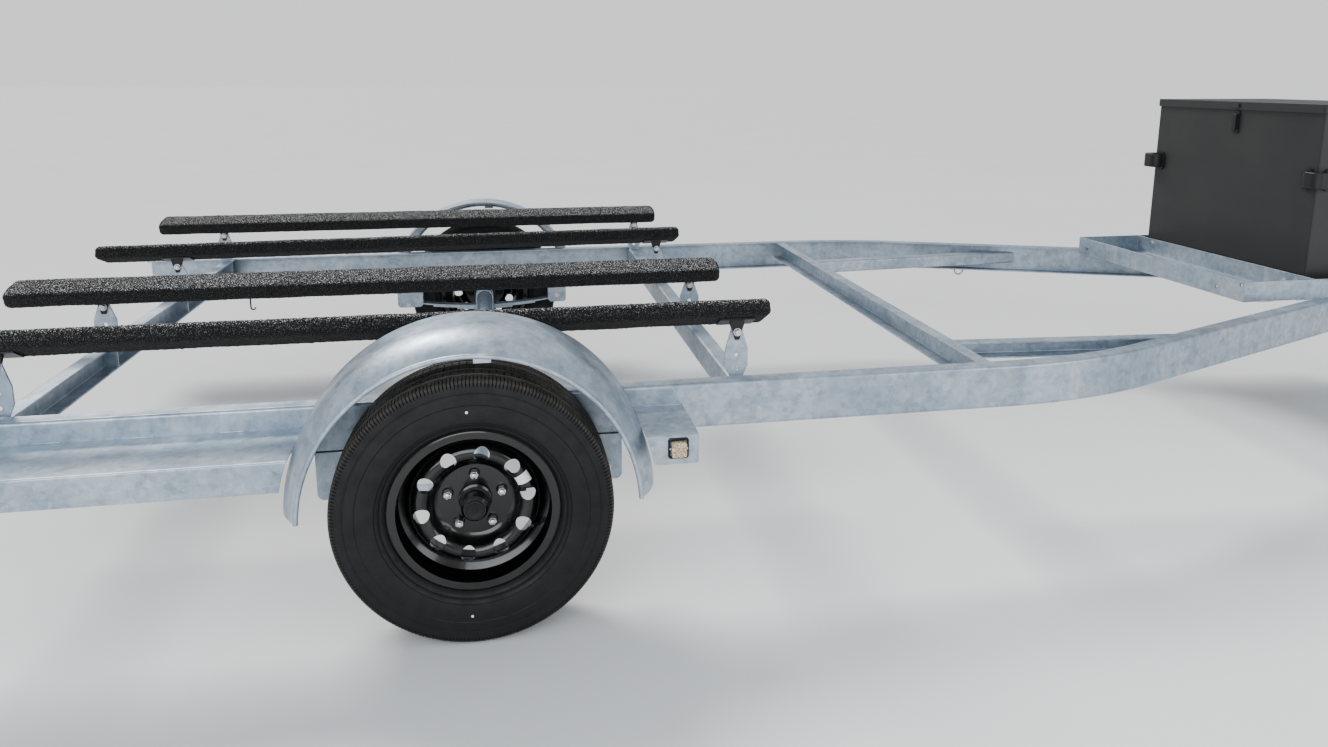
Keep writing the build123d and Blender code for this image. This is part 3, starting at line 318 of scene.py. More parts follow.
def piece(name, points, faces, finish, body, smooth=40.0):
    """A finished mesh object that rides on a body; edges beyond `smooth` degrees stay sharp."""
    mesh = bpy.data.meshes.new(name)
    mesh.from_pydata([tuple(p) for p in points], [], faces)
    mesh.validate()
    mesh.update()
    mesh.materials.append(finish)
    item = bpy.data.objects.new(name, mesh)
    bpy.context.scene.collection.objects.link(item)
    mesh.shade_smooth()
    mesh.set_sharp_from_angle(angle=radians(smooth))
    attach(item, body)
    return item


class Sketch:
    """Points and faces of one piece, gathered from several closed shells."""

    def __init__(self):
        self.points = []
        self.faces = []

    def shell(self, points, faces):
        """Adds one closed shell, its faces counted from its own first point."""
        start = len(self.points)
        self.points.extend(Vector(p) for p in points)
        self.faces.extend([tuple(start + i for i in face) for face in faces])

    def turned(self, place, profile, steps=24):
        """Closed shell turned about the local Z axis from (radius, height) pairs, axis to axis."""
        ring = [(place @ Vector((r * cos(2 * pi * k / steps), r * sin(2 * pi * k / steps), h)))
                for r, h in profile[1:-1] for k in range(steps)]
        ends = [place @ Vector((0, 0, profile[0][1])), place @ Vector((0, 0, profile[-1][1]))]
        rows = len(profile) - 2
        faces = [(row * steps + k, row * steps + (k + 1) % steps,
                  (row + 1) * steps + (k + 1) % steps, (row + 1) * steps + k)
                 for row in range(rows - 1) for k in range(steps)]
        first, last = rows * steps, rows * steps + 1
        faces += [(first, (k + 1) % steps, k) for k in range(steps)]
        top = (rows - 1) * steps
        faces += [(last, top + k, top + (k + 1) % steps) for k in range(steps)]
        self.shell(ring + ends, faces)

    def swept(self, path, radius, sides=8, wobble=None):
        """Closed round bar along a list of points; wobble(i) scales its radius."""
        frames = []
        for i, point in enumerate(path):
            along = (path[min(i + 1, len(path) - 1)] - path[max(i - 1, 0)]).normalized()
            helper = Vector((0, 0, 1)) if abs(along.z) < 0.9 else Vector((1, 0, 0))
            side = along.cross(helper).normalized()
            frames.append((point, side, along.cross(side)))
        points, faces = [], []
        for i, (point, side, up) in enumerate(frames):
            size = radius * (wobble(i) if wobble else 1.0)
            for k in range(sides):
                turn = 2 * pi * k / sides
                points.append(point + side * size * cos(turn) + up * size * sin(turn))
        for i in range(len(frames) - 1):
            for k in range(sides):
                a, b = i * sides + k, i * sides + (k + 1) % sides
                faces.append((a, b, b + sides, a + sides))
        faces.append(tuple(reversed(range(sides))))
        faces.append(tuple(range(len(points) - sides, len(points))))
        self.shell(points, faces)

    def done(self, name, finish, body, slot, smooth=40.0):
        """Makes the piece."""
        return piece(name, self.points, self.faces, finish, body, smooth)


def looking(position, direction, spin=0.0):
    """Placement whose local Z axis points along a direction."""
    turn = Vector((0, 0, 1)).rotation_difference(Vector(direction).normalized())
    return Matrix.Translation(position) @ turn.to_matrix().to_4x4() @ Matrix.Rotation(spin, 4, "Z")


def hexagon_head(sketch, place, across, height, washer=0.0):
    """Hex head or nut with a chamfered crown, on a round washer."""
    corner = across / sqrt(3)
    lift = 0.0
    if washer:
        lift = 0.0018
        sketch.turned(place, [(0, 0), (washer, 0), (washer, lift * 0.8), (washer * 0.97, lift), (0, lift)], 20)
    chamfer = 0.12 * height
    profile = [(0, lift), (corner, lift), (corner, lift + height - 2 * chamfer),
               (corner * 0.88, lift + height), (0, lift + height)]
    sketch.turned(place, profile, 6)


def bolt(sketch, position, direction, across, height, tail=0.0, spin=0.0):
    """Washer and hex head on a face, with the thread's end standing out if it is a nut."""
    place = looking(position, direction, spin)
    hexagon_head(sketch, place, across, height, across * 0.68)
    if tail:
        shank = across * 0.31
        base = height * 0.9
        rings = [(shank * (1.0 if k % 2 else 0.90), base + tail * k / 8) for k in range(9)]
        sketch.turned(place, [(0, base), *rings, (shank * 0.7, base + tail * 1.1), (0, base + tail * 1.1)], 12)


def rounded(width, height, corner, steps=5):
    """Points of a rounded rectangle, anticlockwise."""
    outline = []
    for x, y, start in ((1, 1, 0), (-1, 1, 90), (-1, -1, 180), (1, -1, 270)):
        for k in range(steps + 1):
            turn = radians(start + 90 * k / steps)
            outline.append((x * (width / 2 - corner) + corner * cos(turn),
                            y * (height / 2 - corner) + corner * sin(turn)))
    return outline


def bead(sketch, corners, radius):
    """Rippled weld bead along a line of corners."""
    path = []
    for here, ahead in zip(corners, corners[1:]):
        here, ahead = Vector(here), Vector(ahead)
        parts = max(2, round((ahead - here).length / 0.0026))
        path += [here.lerp(ahead, k / parts) for k in range(parts)]
    path.append(Vector(corners[-1]))
    seed = path[0] * 37.0
    rough = [p + 0.0006 * Vector(noise.noise_vector(p * 90.0 + seed)) for p in path]
    sketch.swept(rough, radius, 8, lambda i: 0.92 + 0.13 * (i % 2) + 0.12 * noise.noise(path[i] * 160.0))


def at(x, y, z):
    """Point by its distance ahead of the axle."""
    return Vector((AXLE_X + x, y, z))


# Tread: ribs between zigzag grooves, with sipes across
TREAD_EDGE = 0.0870
TREAD_DROP = 0.0034
TREAD_ROWS = 30
TREAD_PITCHES = 236
GROOVES = (-0.056, -0.019, 0.019, 0.056)
HALF_GROOVE = 0.0042
GROOVE_DEPTH = 0.0078
GROOVE_SWING = 0.0011
SIPE_DEPTH = 0.0040
SIPE_HALF_SHARE = 0.17
OUTER_RIB = 0.066
INNER_RIBS = ((0.026, 0.045), (-0.007, 0.007))
SHOULDER_NOTCHES = (0.3300, 0.3405)
NOTCH_DEPTH, NOTCH_INSET = 0.0012, 0.0026
BEAD_POINT = (0.1908, 0.0560)
SIDEWALL = [
    # radius, offset from the tyre's middle
    (0.1908, 0.0755), (0.2095, 0.0756), (0.2130, 0.0800), (0.2165, 0.0850), (0.2200, 0.0878), (0.2236, 0.0884),
    (0.2250, 0.0920), (0.2290, 0.0954), (0.2342, 0.0982), (0.2353, 0.0972), (0.2365, 0.0987), (0.2450, 0.1010),
    (0.2570, 0.1022), (0.2690, 0.1024), (0.2795, 0.1021), (0.2803, 0.1011), (0.2815, 0.1018), (0.2900, 0.1015),
    (0.3000, 0.1011), (0.3062, 0.1003), (0.3071, 0.1013), (0.3090, 0.1011), (0.3100, 0.0998), (0.3170, 0.0999),
    (0.3250, 0.0995), (0.3318, 0.0984), (0.3360, 0.0966), (0.3390, 0.0934), (0.3404, 0.0900),
]
INNER_SKIN = [(0.205, -0.0620), (0.255, -0.0860), (0.305, -0.0800), (0.3260, -0.0500), (0.3290, 0.0),
              (0.3260, 0.0500), (0.305, 0.0800), (0.255, 0.0860), (0.205, 0.0620)]


def tread_outline():
    """(radius, offset) across the tread, with its grooves."""
    stations = [TREAD_EDGE - k * 2 * TREAD_EDGE / TREAD_ROWS for k in range(TREAD_ROWS + 1)]
    for groove in GROOVES:
        stations = [y for y in stations if abs(y - groove) > HALF_GROOVE * 1.3]
        stations += [groove + share * HALF_GROOVE for share in (1.0, 0.6, -0.6, -1.0)]
    tread = []
    for y in sorted(stations, reverse=True):
        near = min(abs(y - groove) for groove in GROOVES)
        crown = TYRE_RADIUS - TREAD_DROP * (y / TREAD_EDGE) ** 2
        tread.append((crown - (GROOVE_DEPTH if near < HALF_GROOVE * 0.8 else 0.0), y))
    return tread


def on_sipe(radius, offset, pitch):
    """Whether a sipe crosses the tread here: on the outer ribs, and on the inner ones at each second pitch."""
    if radius <= TYRE_RADIUS - GROOVE_DEPTH * 0.8:
        return False
    inner = any(low < abs(offset) < high for low, high in INNER_RIBS)
    return abs(offset) > OUTER_RIB or (pitch % 2 == 0 and inner)


def tyre(side_name, sign):
    """Radial trailer tyre: four zigzag grooves, sipes cut into the ribs, ringed sidewalls."""
    tread = tread_outline()
    far_wall = [(r, -y) for r, y in reversed(SIDEWALL)]
    bead_radius, bead_offset = BEAD_POINT
    loop = SIDEWALL + tread + far_wall + [(bead_radius, -bead_offset)] + INNER_SKIN + [BEAD_POINT]
    tread_start, tread_end = len(SIDEWALL), len(SIDEWALL) + len(tread)
    shares = (-SIPE_HALF_SHARE, 0.0, SIPE_HALF_SHARE)
    turns = [(pitch, share) for pitch in range(TREAD_PITCHES) for share in shares]
    points, faces = [], []
    for pitch, share in turns:
        angle = 2 * pi * (pitch + share) / TREAD_PITCHES
        swing = GROOVE_SWING * (1 if pitch % 4 < 2 else -1)
        for i, (r, y) in enumerate(loop):
            band = abs(y)
            if tread_start <= i < tread_end:
                if share == 0.0 and on_sipe(r, y, pitch):
                    r -= SIPE_DEPTH
                if band < OUTER_RIB:
                    y += swing
            elif share == 0.0 and SHOULDER_NOTCHES[0] < r < SHOULDER_NOTCHES[1]:
                r -= NOTCH_DEPTH
                y -= NOTCH_INSET if y > 0 else -NOTCH_INSET
            points.append((AXLE_X + r * cos(angle), sign * WHEEL_Y + y, AXLE_Z + r * sin(angle)))
    count = len(loop)
    for k in range(len(turns)):
        here, there = k * count, ((k + 1) % len(turns)) * count
        for i in range(count):
            j = (i + 1) % count
            faces.append((here + i, there + i, there + j, here + j))
    item = piece(f"tyre_tread_{side_name}", points, faces, TYRE_RUBBER, f"wheel_{side_name}", 32)
    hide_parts(f"tyre_{side_name}")


# Wheel sizes that its fittings sit on
STUD_COUNT = 5
STUD_CIRCLE = 0.06985
STUD_FACE = 0.008
CAP_RADIUS = 0.033
CAP_SEAT, CAP_REACH = 0.016, 0.068
NUT_SUNK, NUT_ACROSS, NUT_HEIGHT = 0.0032, 0.0205, 0.0150

# Turned profiles, as (radius, height) pairs from axis to axis
NUT_CONE = [(0, 0.0004), (0.0085, 0.0004), (0.0103, 0.0036), (0.0103, 0.0050), (0, 0.0050)]
STUD_TIP = [(0, 0.0175), *((0.0058 if k % 2 else 0.0064, 0.0175 + 0.0009 * k) for k in range(9)),
            (0.0045, 0.0262), (0, 0.0262)]
CAP_COLLAR = [(0, 0.004), (CAP_RADIUS + 0.0042, 0.004), (CAP_RADIUS + 0.0058, 0.0062),
              (CAP_RADIUS + 0.0042, 0.0086), (CAP_RADIUS, 0.0105), (CAP_RADIUS - 0.002, 0.0105), (0, 0.0095)]
CAP_PLUG = [(0, -0.0040), (0.0235, -0.0040), (0.0250, 0.0006), (0.0240, 0.0034), (0.0205, 0.0044),
            (0.0170, 0.0026), (0.0070, 0.0026), (0.0055, 0.0046), (0, 0.0050)]
VALVE = [(0, 0), (0.0085, 0), (0.0078, 0.004), (0.0048, 0.008), (0.0046, 0.024), (0.0054, 0.0245),
         (0.0056, 0.036), (0.0040, 0.039), (0, 0.039)]
DOT = [(0, -0.0005), (0.0036, -0.0005), (0.0034, 0.0003), (0, 0.0004)]

# Places on the wheel: radii, angles in degrees from forward towards up, and offsets outward
VALVE_RADIUS, VALVE_ANGLE, VALVE_OFFSET, VALVE_LEAN = 0.1755, -26, 0.008, 0.62
LABEL_RADII, LABEL_SPAN = (0.1150, 0.1515), (21.5, 32.5)
DOT_RADIUS, DOT_OFFSET, DOT_ANGLES = 0.2640, 0.1025, (92.0, -93.0)

# Arc of the wheel disc's crown: its radius and its centre
CROWN_ARC = 0.023735
CROWN_CENTRE_RADIUS, CROWN_CENTRE_OFFSET = 0.132636, 0.020273


def round_the_wheel(sign, radius, degrees_up, outward):
    """Point on a wheel by its distance from the axis, its angle from forward and its offset."""
    turn = radians(degrees_up)
    return Vector((AXLE_X + radius * cos(turn), sign * (WHEEL_Y + outward), AXLE_Z + radius * sin(turn)))


def lug_nuts(side_name, sign):
    """Cone-seated nuts on the studs, whose threads stand out."""
    sketch = Sketch()
    for k in range(STUD_COUNT):
        seat = round_the_wheel(sign, STUD_CIRCLE, 90 + 360 / STUD_COUNT * k, STUD_FACE - NUT_SUNK)
        place = looking(seat, (0, sign, 0), 0.3 * k)
        sketch.turned(place, NUT_CONE, 20)
        hexagon_head(sketch, place @ Matrix.Translation((0, 0, 0.0040)), NUT_ACROSS, NUT_HEIGHT)
        sketch.turned(place, STUD_TIP, 14)
    sketch.done(f"lug_nuts_{side_name}", ZINC, f"wheel_{side_name}", "bright_steel")


def dust_cap(side_name, sign):
    """Rubber collar round the dust cap, and the plug in its end."""
    sketch = Sketch()
    place = looking(Vector((AXLE_X, sign * (WHEEL_Y + CAP_SEAT), AXLE_Z)), (0, sign, 0))
    sketch.turned(place, CAP_COLLAR, 48)
    sketch.turned(place @ Matrix.Translation((0, 0, CAP_REACH - CAP_SEAT)), CAP_PLUG, 40)
    sketch.done(f"dust_cap_{side_name}", JACK_RUBBER, f"wheel_{side_name}", "wheel_rubber")


def valve(side_name, sign):
    """Valve stem in the rim, leaning in towards the axis."""
    turn = radians(VALVE_ANGLE)
    lean = Vector((-VALVE_LEAN * cos(turn), sign, -VALVE_LEAN * sin(turn)))
    sketch = Sketch()
    sketch.turned(looking(round_the_wheel(sign, VALVE_RADIUS, VALVE_ANGLE, VALVE_OFFSET), lean), VALVE, 16)
    sketch.done(f"valve_{side_name}", BLACK_STEEL, f"wheel_{side_name}", "wheel_rubber")


def blank_label(side_name, sign):
    """Blank label stuck on the disc between two vents."""
    sketch = Sketch()
    patch(sketch, sign, LABEL_RADII, LABEL_SPAN)
    sketch.done(f"blank_label_{side_name}", LABEL, f"wheel_{side_name}", "wheel_paint", 60)


def sidewall_dots(side_name, sign):
    """Balance dots on the tyre's sidewall."""
    sketch = Sketch()
    for angle in DOT_ANGLES:
        spot = round_the_wheel(sign, DOT_RADIUS, angle, DOT_OFFSET)
        sketch.turned(looking(spot, (0, sign, 0)), DOT, 18)
    sketch.done(f"sidewall_dots_{side_name}", LABEL, f"wheel_{side_name}", "tyre_rubber")


def crown(radius):
    """How far the disc's rounded crown stands out at a radius."""
    return CROWN_CENTRE_OFFSET + sqrt(CROWN_ARC ** 2 - (radius - CROWN_CENTRE_RADIUS) ** 2)


def patch(sketch, sign, radii, span):
    """Thin sheet stuck on the disc's crown between two radii and two angles."""
    across, along, lift, thick = 12, 8, 0.0003, 0.0005
    points = []
    for rise in (lift, lift + thick):
        for i in range(across + 1):
            radius = radii[0] + (radii[1] - radii[0]) * i / across
            for k in range(along + 1):
                turn = span[0] + (span[1] - span[0]) * k / along
                points.append(round_the_wheel(sign, radius, turn, crown(radius) + rise))
    row, sheet = along + 1, (across + 1) * (along + 1)
    faces = []
    for i in range(across):
        for k in range(along):
            a = i * row + k
            faces.append((a, a + row, a + row + 1, a + 1))
            faces.append((sheet + a, sheet + a + 1, sheet + a + row + 1, sheet + a + row))
    rim = list(range(row)) + [i * row + along for i in range(1, across + 1)]
    rim += [across * row + k for k in range(along - 1, -1, -1)] + [i * row for i in range(across - 1, 0, -1)]
    for here, ahead in zip(rim, rim[1:] + rim[:1]):
        faces.append((here, ahead, sheet + ahead, sheet + here))
    sketch.shell(points, faces)


# Bunks: boards wrapped in carpet
BUNK_WIDTH = 0.105
BUNK_THICKNESS = 0.054
BUNK_CROWN = 0.005
BUNK_CORNER = 0.0135
BUNK_FRONT = 0.816
BUNK_TOP = RAIL_TOP + 0.196
OUTER_BUNK_Y = RAIL_Y - 0.100
PIVOT_BELOW_BUNK = 0.031
SWIVEL_FACE = 0.0085
PILE_STEP = 0.0050
PILE_ROWS = 430
END_ROUND = 0.020
FOLD_SHARES = (0.62, 0.48, 0.34, 0.18)
STATIONS = (-1.136, 0.721)
BUNKS = (
    # node, y of the centre, lean of the top towards +Y, rear end from the axle, top at rear and front
    ("bunk_right_outer", -OUTER_BUNK_Y, 28.0, -1.395, BUNK_TOP + 0.004, BUNK_TOP + 0.004),
    ("bunk_right_inner", -0.370, -17.0, -1.390, BUNK_TOP, BUNK_TOP),
    ("bunk_left_inner", 0.370, 21.0, -1.415, BUNK_TOP - 0.017, BUNK_TOP),
    ("bunk_left_outer", OUTER_BUNK_Y, -17.0, -1.388, BUNK_TOP, BUNK_TOP),
)


def bunk_frame(row):
    """Placement at the middle of a bunk's top: X along it, Z out of its leant top."""
    _, y, lean, rear, rear_top, front_top = row
    pitch = atan2(front_top - rear_top, BUNK_FRONT - rear)
    middle = Matrix.Translation(at((rear + BUNK_FRONT) / 2, y, (rear_top + front_top) / 2))
    return middle @ Matrix.Rotation(-pitch, 4, "Y") @ Matrix.Rotation(-radians(lean), 4, "X")


def pivot(row, station):
    """Middle of the swivel bolt under a bunk."""
    middle = (row[3] + BUNK_FRONT) / 2
    return bunk_frame(row) @ Vector((station - middle, 0, -BUNK_THICKNESS - PIVOT_BELOW_BUNK))


def bunk_outline():
    """(y, z, normal y, normal z) round the board's wrapped section."""
    middle = -(BUNK_THICKNESS + BUNK_CROWN) / 2
    tall = BUNK_THICKNESS - BUNK_CROWN
    corners = rounded(BUNK_WIDTH, tall, BUNK_CORNER)
    dense = []
    for here, ahead in zip(corners, corners[1:] + corners[:1]):
        across, up = ahead[0] - here[0], ahead[1] - here[1]
        parts = max(1, round(hypot(across, up) / PILE_STEP))
        dense += [(here[0] + across * j / parts, here[1] + up * j / parts) for j in range(parts)]
    outline = []
    for k, (y, z) in enumerate(dense):
        before, after = dense[k - 1], dense[(k + 1) % len(dense)]
        along = Vector((after[0] - before[0], after[1] - before[1])).normalized()
        crown = BUNK_CROWN * (1 - (2 * y / BUNK_WIDTH) ** 2) * max(0.0, 2 * z / tall)
        outline.append((y, middle + z + crown, along.y, -along.x))
    return outline


def bunk_stations(half_length):
    """Places along a bunk, closer together where its ends round over."""
    inner = half_length - END_ROUND
    arc = [-half_length + END_ROUND * (1 - cos(radians(12 * k))) for k in range(1, 7)]
    straight = [-inner + 2 * inner * k / PILE_ROWS for k in range(PILE_ROWS + 1)]
    return arc + straight + [-x for x in reversed(arc)]


def pile(x, y, z, seed):
    """How far the carpet stands off the board: slow lumps under looped tufts."""
    spot = Vector((x * 30 + seed, y * 30, z * 30))
    lump = 0.0014 * noise.noise(spot * 0.35) - 0.0012
    tufts = 0.0014 * noise.noise(spot * 9.0) + 0.0010 * noise.noise(spot * 21.0)
    return lump + tufts


def bridge(faces, ring, after, end):
    """Faces between two rings of an end, turned so that they look outward."""
    for k in range(len(ring)):
        j = (k + 1) % len(ring)
        a, b, c, d = ring[k], ring[j], after[j], after[k]
        faces.append((b, a, d, c) if end < 0 else (a, b, c, d))


def fold_end(points, faces, ring, end, half_length, row, outline, seed):
    """Closes a bunk's end with creased carpet folded in towards the board's heart."""
    place = bunk_frame(row)
    heart = -BUNK_THICKNESS / 2
    for share in FOLD_SHARES:
        fresh = []
        for y, z, _, _ in outline:
            crease = 0.0022 * abs(noise.noise(Vector((seed + end, y * 60, z * 60))))
            x = end * (half_length - 0.0004 - crease)
            fresh.append(len(points))
            points.append(place @ Vector((x, y * share, heart + (z - heart) * share)))
        bridge(faces, ring, fresh, end)
        ring = fresh
    tip = len(points)
    points.append(place @ Vector((end * (half_length - 0.001), 0, heart)))
    for k in range(len(ring)):
        a, b = ring[k], ring[(k + 1) % len(ring)]
        faces.append((b, a, tip) if end < 0 else (a, b, tip))


def bunk_surface(row, seed):
    """Carpet wrapped round a board: slightly lumpy, with a looped pile and folded ends."""
    node, _, _, rear, rear_top, front_top = row
    place = bunk_frame(row)
    half_length = hypot(BUNK_FRONT - rear, front_top - rear_top) / 2
    inner = half_length - END_ROUND
    outline = bunk_outline()
    ring = len(outline)
    stations = bunk_stations(half_length)
    points, faces = [], []
    for x in stations:
        past = max(0.0, abs(x) - inner) / END_ROUND
        pull = END_ROUND * (1 - sqrt(max(0.0, 1 - past * past)))
        for y, z, ny, nz in outline:
            shift = pile(x, y, z, seed) - pull
            points.append(place @ Vector((x, y + ny * shift, z + nz * shift)))
    for i in range(len(stations) - 1):
        for k in range(ring):
            a, b = i * ring + k, i * ring + (k + 1) % ring
            faces.append((a, b, b + ring, a + ring))
    for end, line in ((-1, 0), (1, len(stations) - 1)):
        rim = [line * ring + k for k in range(ring)]
        fold_end(points, faces, rim, end, half_length, row, outline, seed)
    item = piece(f"carpet_{node}", points, faces, CARPET, "trailer", 80)
    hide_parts(node)


# Frame sizes that welds and bolts follow, along X from the axle
RAIL_WALL = 0.0048
BEND_X, BEND_ANGLE = 1.808, radians(21.3)
CROSS_TOP = RAIL_TOP - RAIL_WALL
CROSS_HEIGHT = 0.080
CROSS_FLANGE = 0.048
CROSS_HALF = RAIL_Y - RAIL_WALL - 0.0045
CROSSMEMBERS = ((-1.160, 1), (0.697, 1), (1.503, -1))
STIFFENER_HEIGHT = 0.055
STIFFENER_LOW = RAIL_TOP - 0.030 - STIFFENER_HEIGHT - RAIL_WALL
STEP_TOP = RAIL_TOP - 0.056
STEP_OUTER = RAIL_Y + 0.215
FENDER_RADIUS = 0.452
TRAY_REAR, TRAY_HALF, TRAY_LEG, TRAY_WALL = 2.790, 0.497, 0.076, 0.0064
BOX_REAR, BOX_FRONT, BOX_HALF = 3.105, 3.665, 0.440
SPRING_Y = RAIL_Y - 0.02875
HANGER_FACE = 0.02875
SPRING_PINS = ((0.346, AXLE_Z), (-0.352, 0.3218))
HANGERS = ((0.305, 0.387), (-0.400, -0.288))
CLAMP_BOLT_X, CLAMP_BOLT_Y, CLAMP_BOTTOM = 0.0365, 0.0315, 0.2774
NOSE_X = 4.3421
JACK_X = 4.1521
JACK_BOLT_CIRCLE = 0.051
JACK_TOP = RAIL_TOP + 0.333
JACK_TRAIL, JACK_AXLE_Z = 0.034, 0.076
MARKER_X, MARKER_Z = 0.503, 0.4780

# Weld beads: their radii, then where they run
WIDE_BEAD, CORNER_BEAD, STITCH_BEAD, FINE_BEAD = 0.0034, 0.0028, 0.0027, 0.0026
UPRIGHT_HALF_WIDTH, UPRIGHT_FACE = 0.018, 0.0042
TRAY_STITCHES, TRAY_STITCH = (2.86, 3.02), 0.06
STEP_STITCHES = [(-1.46 + 0.21 * k, 0.055) for k in range(5)] + [(0.452, 0.05), (0.500, 0.05)]
FENDER_WELDS = ((-0.430, 0.020), (0.430, 0.012))
STIFFENER_END, STIFFENER_INNER, STIFFENER_OUTER = 1.5042, 0.6495, 0.699

# Bolts, as the distance across the flats and the head's height
BUNK_BOLT = (0.0175, 0.0085)
SPRING_NUT = (0.019, 0.009)
CLAMP_NUT = (0.0205, 0.0105)
NOSE_BOLT = (0.019, 0.010)
JACK_BOLT = (0.016, 0.008)
TRAY_BOLT = (0.016, 0.007)
CRANK_BOLT = (0.019, 0.008)
JACK_AXLE_NUT = (0.019, 0.0085)
THREAD_END = 0.004
TRAY_BOLTS = ((0.391, 0.056), (-0.360, 0.039), (-0.414, 0.051))


def crossmember_welds(sketch):
    """Beads that fill the gap between each crossmember's end and the rail's web."""
    inset, turn = 0.0022, 0.005
    high, low = CROSS_TOP - inset, CROSS_TOP - CROSS_HEIGHT + inset
    for web, way in CROSSMEMBERS:
        tip, heel = web + way * CROSS_FLANGE, web + way * 0.002
        for _, sign in SIDES:
            y = sign * (CROSS_HALF + inset)
            bead(sketch, [at(tip, y, high), at(heel + way * turn, y, high), at(heel, y, high - turn),
                          at(heel, y, low + turn), at(heel + way * turn, y, low), at(tip, y, low)], WIDE_BEAD)


def upright_welds(sketch):
    """Fillet beads on both sides of each bunk upright's foot."""
    z = CROSS_TOP + 0.0010
    for station in STATIONS:
        for row in BUNKS:
            for side in (-1, 1):
                y = pivot(row, station).y + side * UPRIGHT_FACE
                bead(sketch, [at(station - UPRIGHT_HALF_WIDTH, y, z), at(station + UPRIGHT_HALF_WIDTH, y, z)],
                     FINE_BEAD)


def tray_welds(sketch):
    """Beads down the tray's corners and across the side angles where they pass the supports."""
    high, low = RAIL_TOP + TRAY_LEG - 0.002, RAIL_TOP + TRAY_WALL + 0.001
    corners = (
        # x, bead
        (TRAY_REAR + TRAY_WALL + 0.0010, CORNER_BEAD),
        (BOX_FRONT + 0.0040, CORNER_BEAD),
        (BOX_REAR - 0.0052 - TRAY_WALL, FINE_BEAD),
    )
    for _, sign in SIDES:
        y = sign * (TRAY_HALF - TRAY_WALL - 0.0012)
        for x, radius in corners:
            bead(sketch, [at(x, y, high), at(x, y, low)], radius)
        y, z = sign * (TRAY_HALF + 0.0008), RAIL_TOP + 0.0006
        for start in TRAY_STITCHES:
            bead(sketch, [at(start, y, z), at(start + TRAY_STITCH, y, z)], CORNER_BEAD)


def step_welds(sketch):
    """Stitch beads where the steps and fenders meet the rails."""
    z = STEP_TOP + 0.0006
    for _, sign in SIDES:
        y = sign * (RAIL_Y + 0.0006)
        for start, length in STEP_STITCHES:
            bead(sketch, [at(start, y, z), at(start + length, y, z)], STITCH_BEAD)
        for x, rise in FENDER_WELDS:
            foot = AXLE_Z + sqrt(FENDER_RADIUS ** 2 - x * x) + 0.002
            bead(sketch, [at(x, y, foot), at(x * 0.99, y, foot + rise)], FINE_BEAD)


def stiffener_welds(sketch):
    """Beads round each stiffener's end on the front crossmember."""
    high, low = STIFFENER_LOW + STIFFENER_HEIGHT + 0.0006, STIFFENER_LOW - 0.0006
    corners = ((STIFFENER_OUTER, high), (STIFFENER_INNER, high), (STIFFENER_INNER, low), (STIFFENER_OUTER, low))
    for _, sign in SIDES:
        bead(sketch, [at(STIFFENER_END, sign * y, z) for y, z in corners], CORNER_BEAD)


def hanger_welds(sketch):
    """Beads between the spring hangers and the rails' lower flanges."""
    z = RAIL_BOTTOM - 0.0002
    for _, sign in SIDES:
        y = sign * (SPRING_Y - HANGER_FACE - 0.00025)
        for start, end in HANGERS:
            bead(sketch, [at(start, y, z), at(end, y, z)], FINE_BEAD)


def welds():
    """Every weld bead on the frame, dipped with it."""
    sketch = Sketch()
    crossmember_welds(sketch)
    upright_welds(sketch)
    tray_welds(sketch)
    step_welds(sketch)
    stiffener_welds(sketch)
    hanger_welds(sketch)
    sketch.done("weld_beads", GALVANISED, "trailer", "galvanised", 70)


def bunk_bolts(sketch):
    """Head and nut of each swivel bolt."""
    for station in STATIONS:
        for row in BUNKS:
            for side, tail in ((-1, 0.0), (1, THREAD_END)):
                face = pivot(row, station) + Vector((0, side * SWIVEL_FACE, 0))
                bolt(sketch, face, (0, side, 0), *BUNK_BOLT, tail=tail, spin=0.4 * station)


def spring_bolts(sketch):
    """Nuts on the spring pins and under the axle clamps."""
    for _, sign in SIDES:
        for x, z in SPRING_PINS:
            for side in (-1, 1):
                tail = THREAD_END if side * sign < 0 else 0.0
                face = at(x, sign * SPRING_Y + side * HANGER_FACE, z)
                bolt(sketch, face, (0, side, 0), *SPRING_NUT, tail=tail, spin=0.5)
        for x in (-CLAMP_BOLT_X, CLAMP_BOLT_X):
            for y in (-CLAMP_BOLT_Y, CLAMP_BOLT_Y):
                place = looking(at(x, sign * SPRING_Y + y, CLAMP_BOTTOM), (0, 0, -1), 0.3)
                hexagon_head(sketch, place, *CLAMP_NUT)


def nose_bolts(sketch):
    """Bolts that hold the coupler to the rails and the jack's flange to the coupler."""
    for _, sign in SIDES:
        for x in (NOSE_X - 0.235, NOSE_X - 0.085):
            y = RAIL_Y - (x - BEND_X) * tan(BEND_ANGLE) + 0.0062
            out = (sin(BEND_ANGLE), sign * cos(BEND_ANGLE), 0)
            bolt(sketch, at(x, sign * y, RAIL_TOP - 0.026), out, *NOSE_BOLT, spin=0.2)
    for k in range(3):
        turn = radians(60 + 120 * k)
        spot = at(JACK_X + JACK_BOLT_CIRCLE * cos(turn), JACK_BOLT_CIRCLE * sin(turn), RAIL_TOP + 0.014)
        bolt(sketch, spot, (0, 0, 1), *JACK_BOLT, spin=0.3 * k)


def tray_bolts(sketch):
    """Bolts behind the box, and one in the rear crossmember's web."""
    for y, height in TRAY_BOLTS:
        bolt(sketch, at(BOX_REAR - 0.0115, y, RAIL_TOP + height), (-1, 0, 0), *TRAY_BOLT)
    bolt(sketch, at(-1.160, -0.795, 0.500), (-1, 0, 0), *SPRING_NUT, tail=THREAD_END)


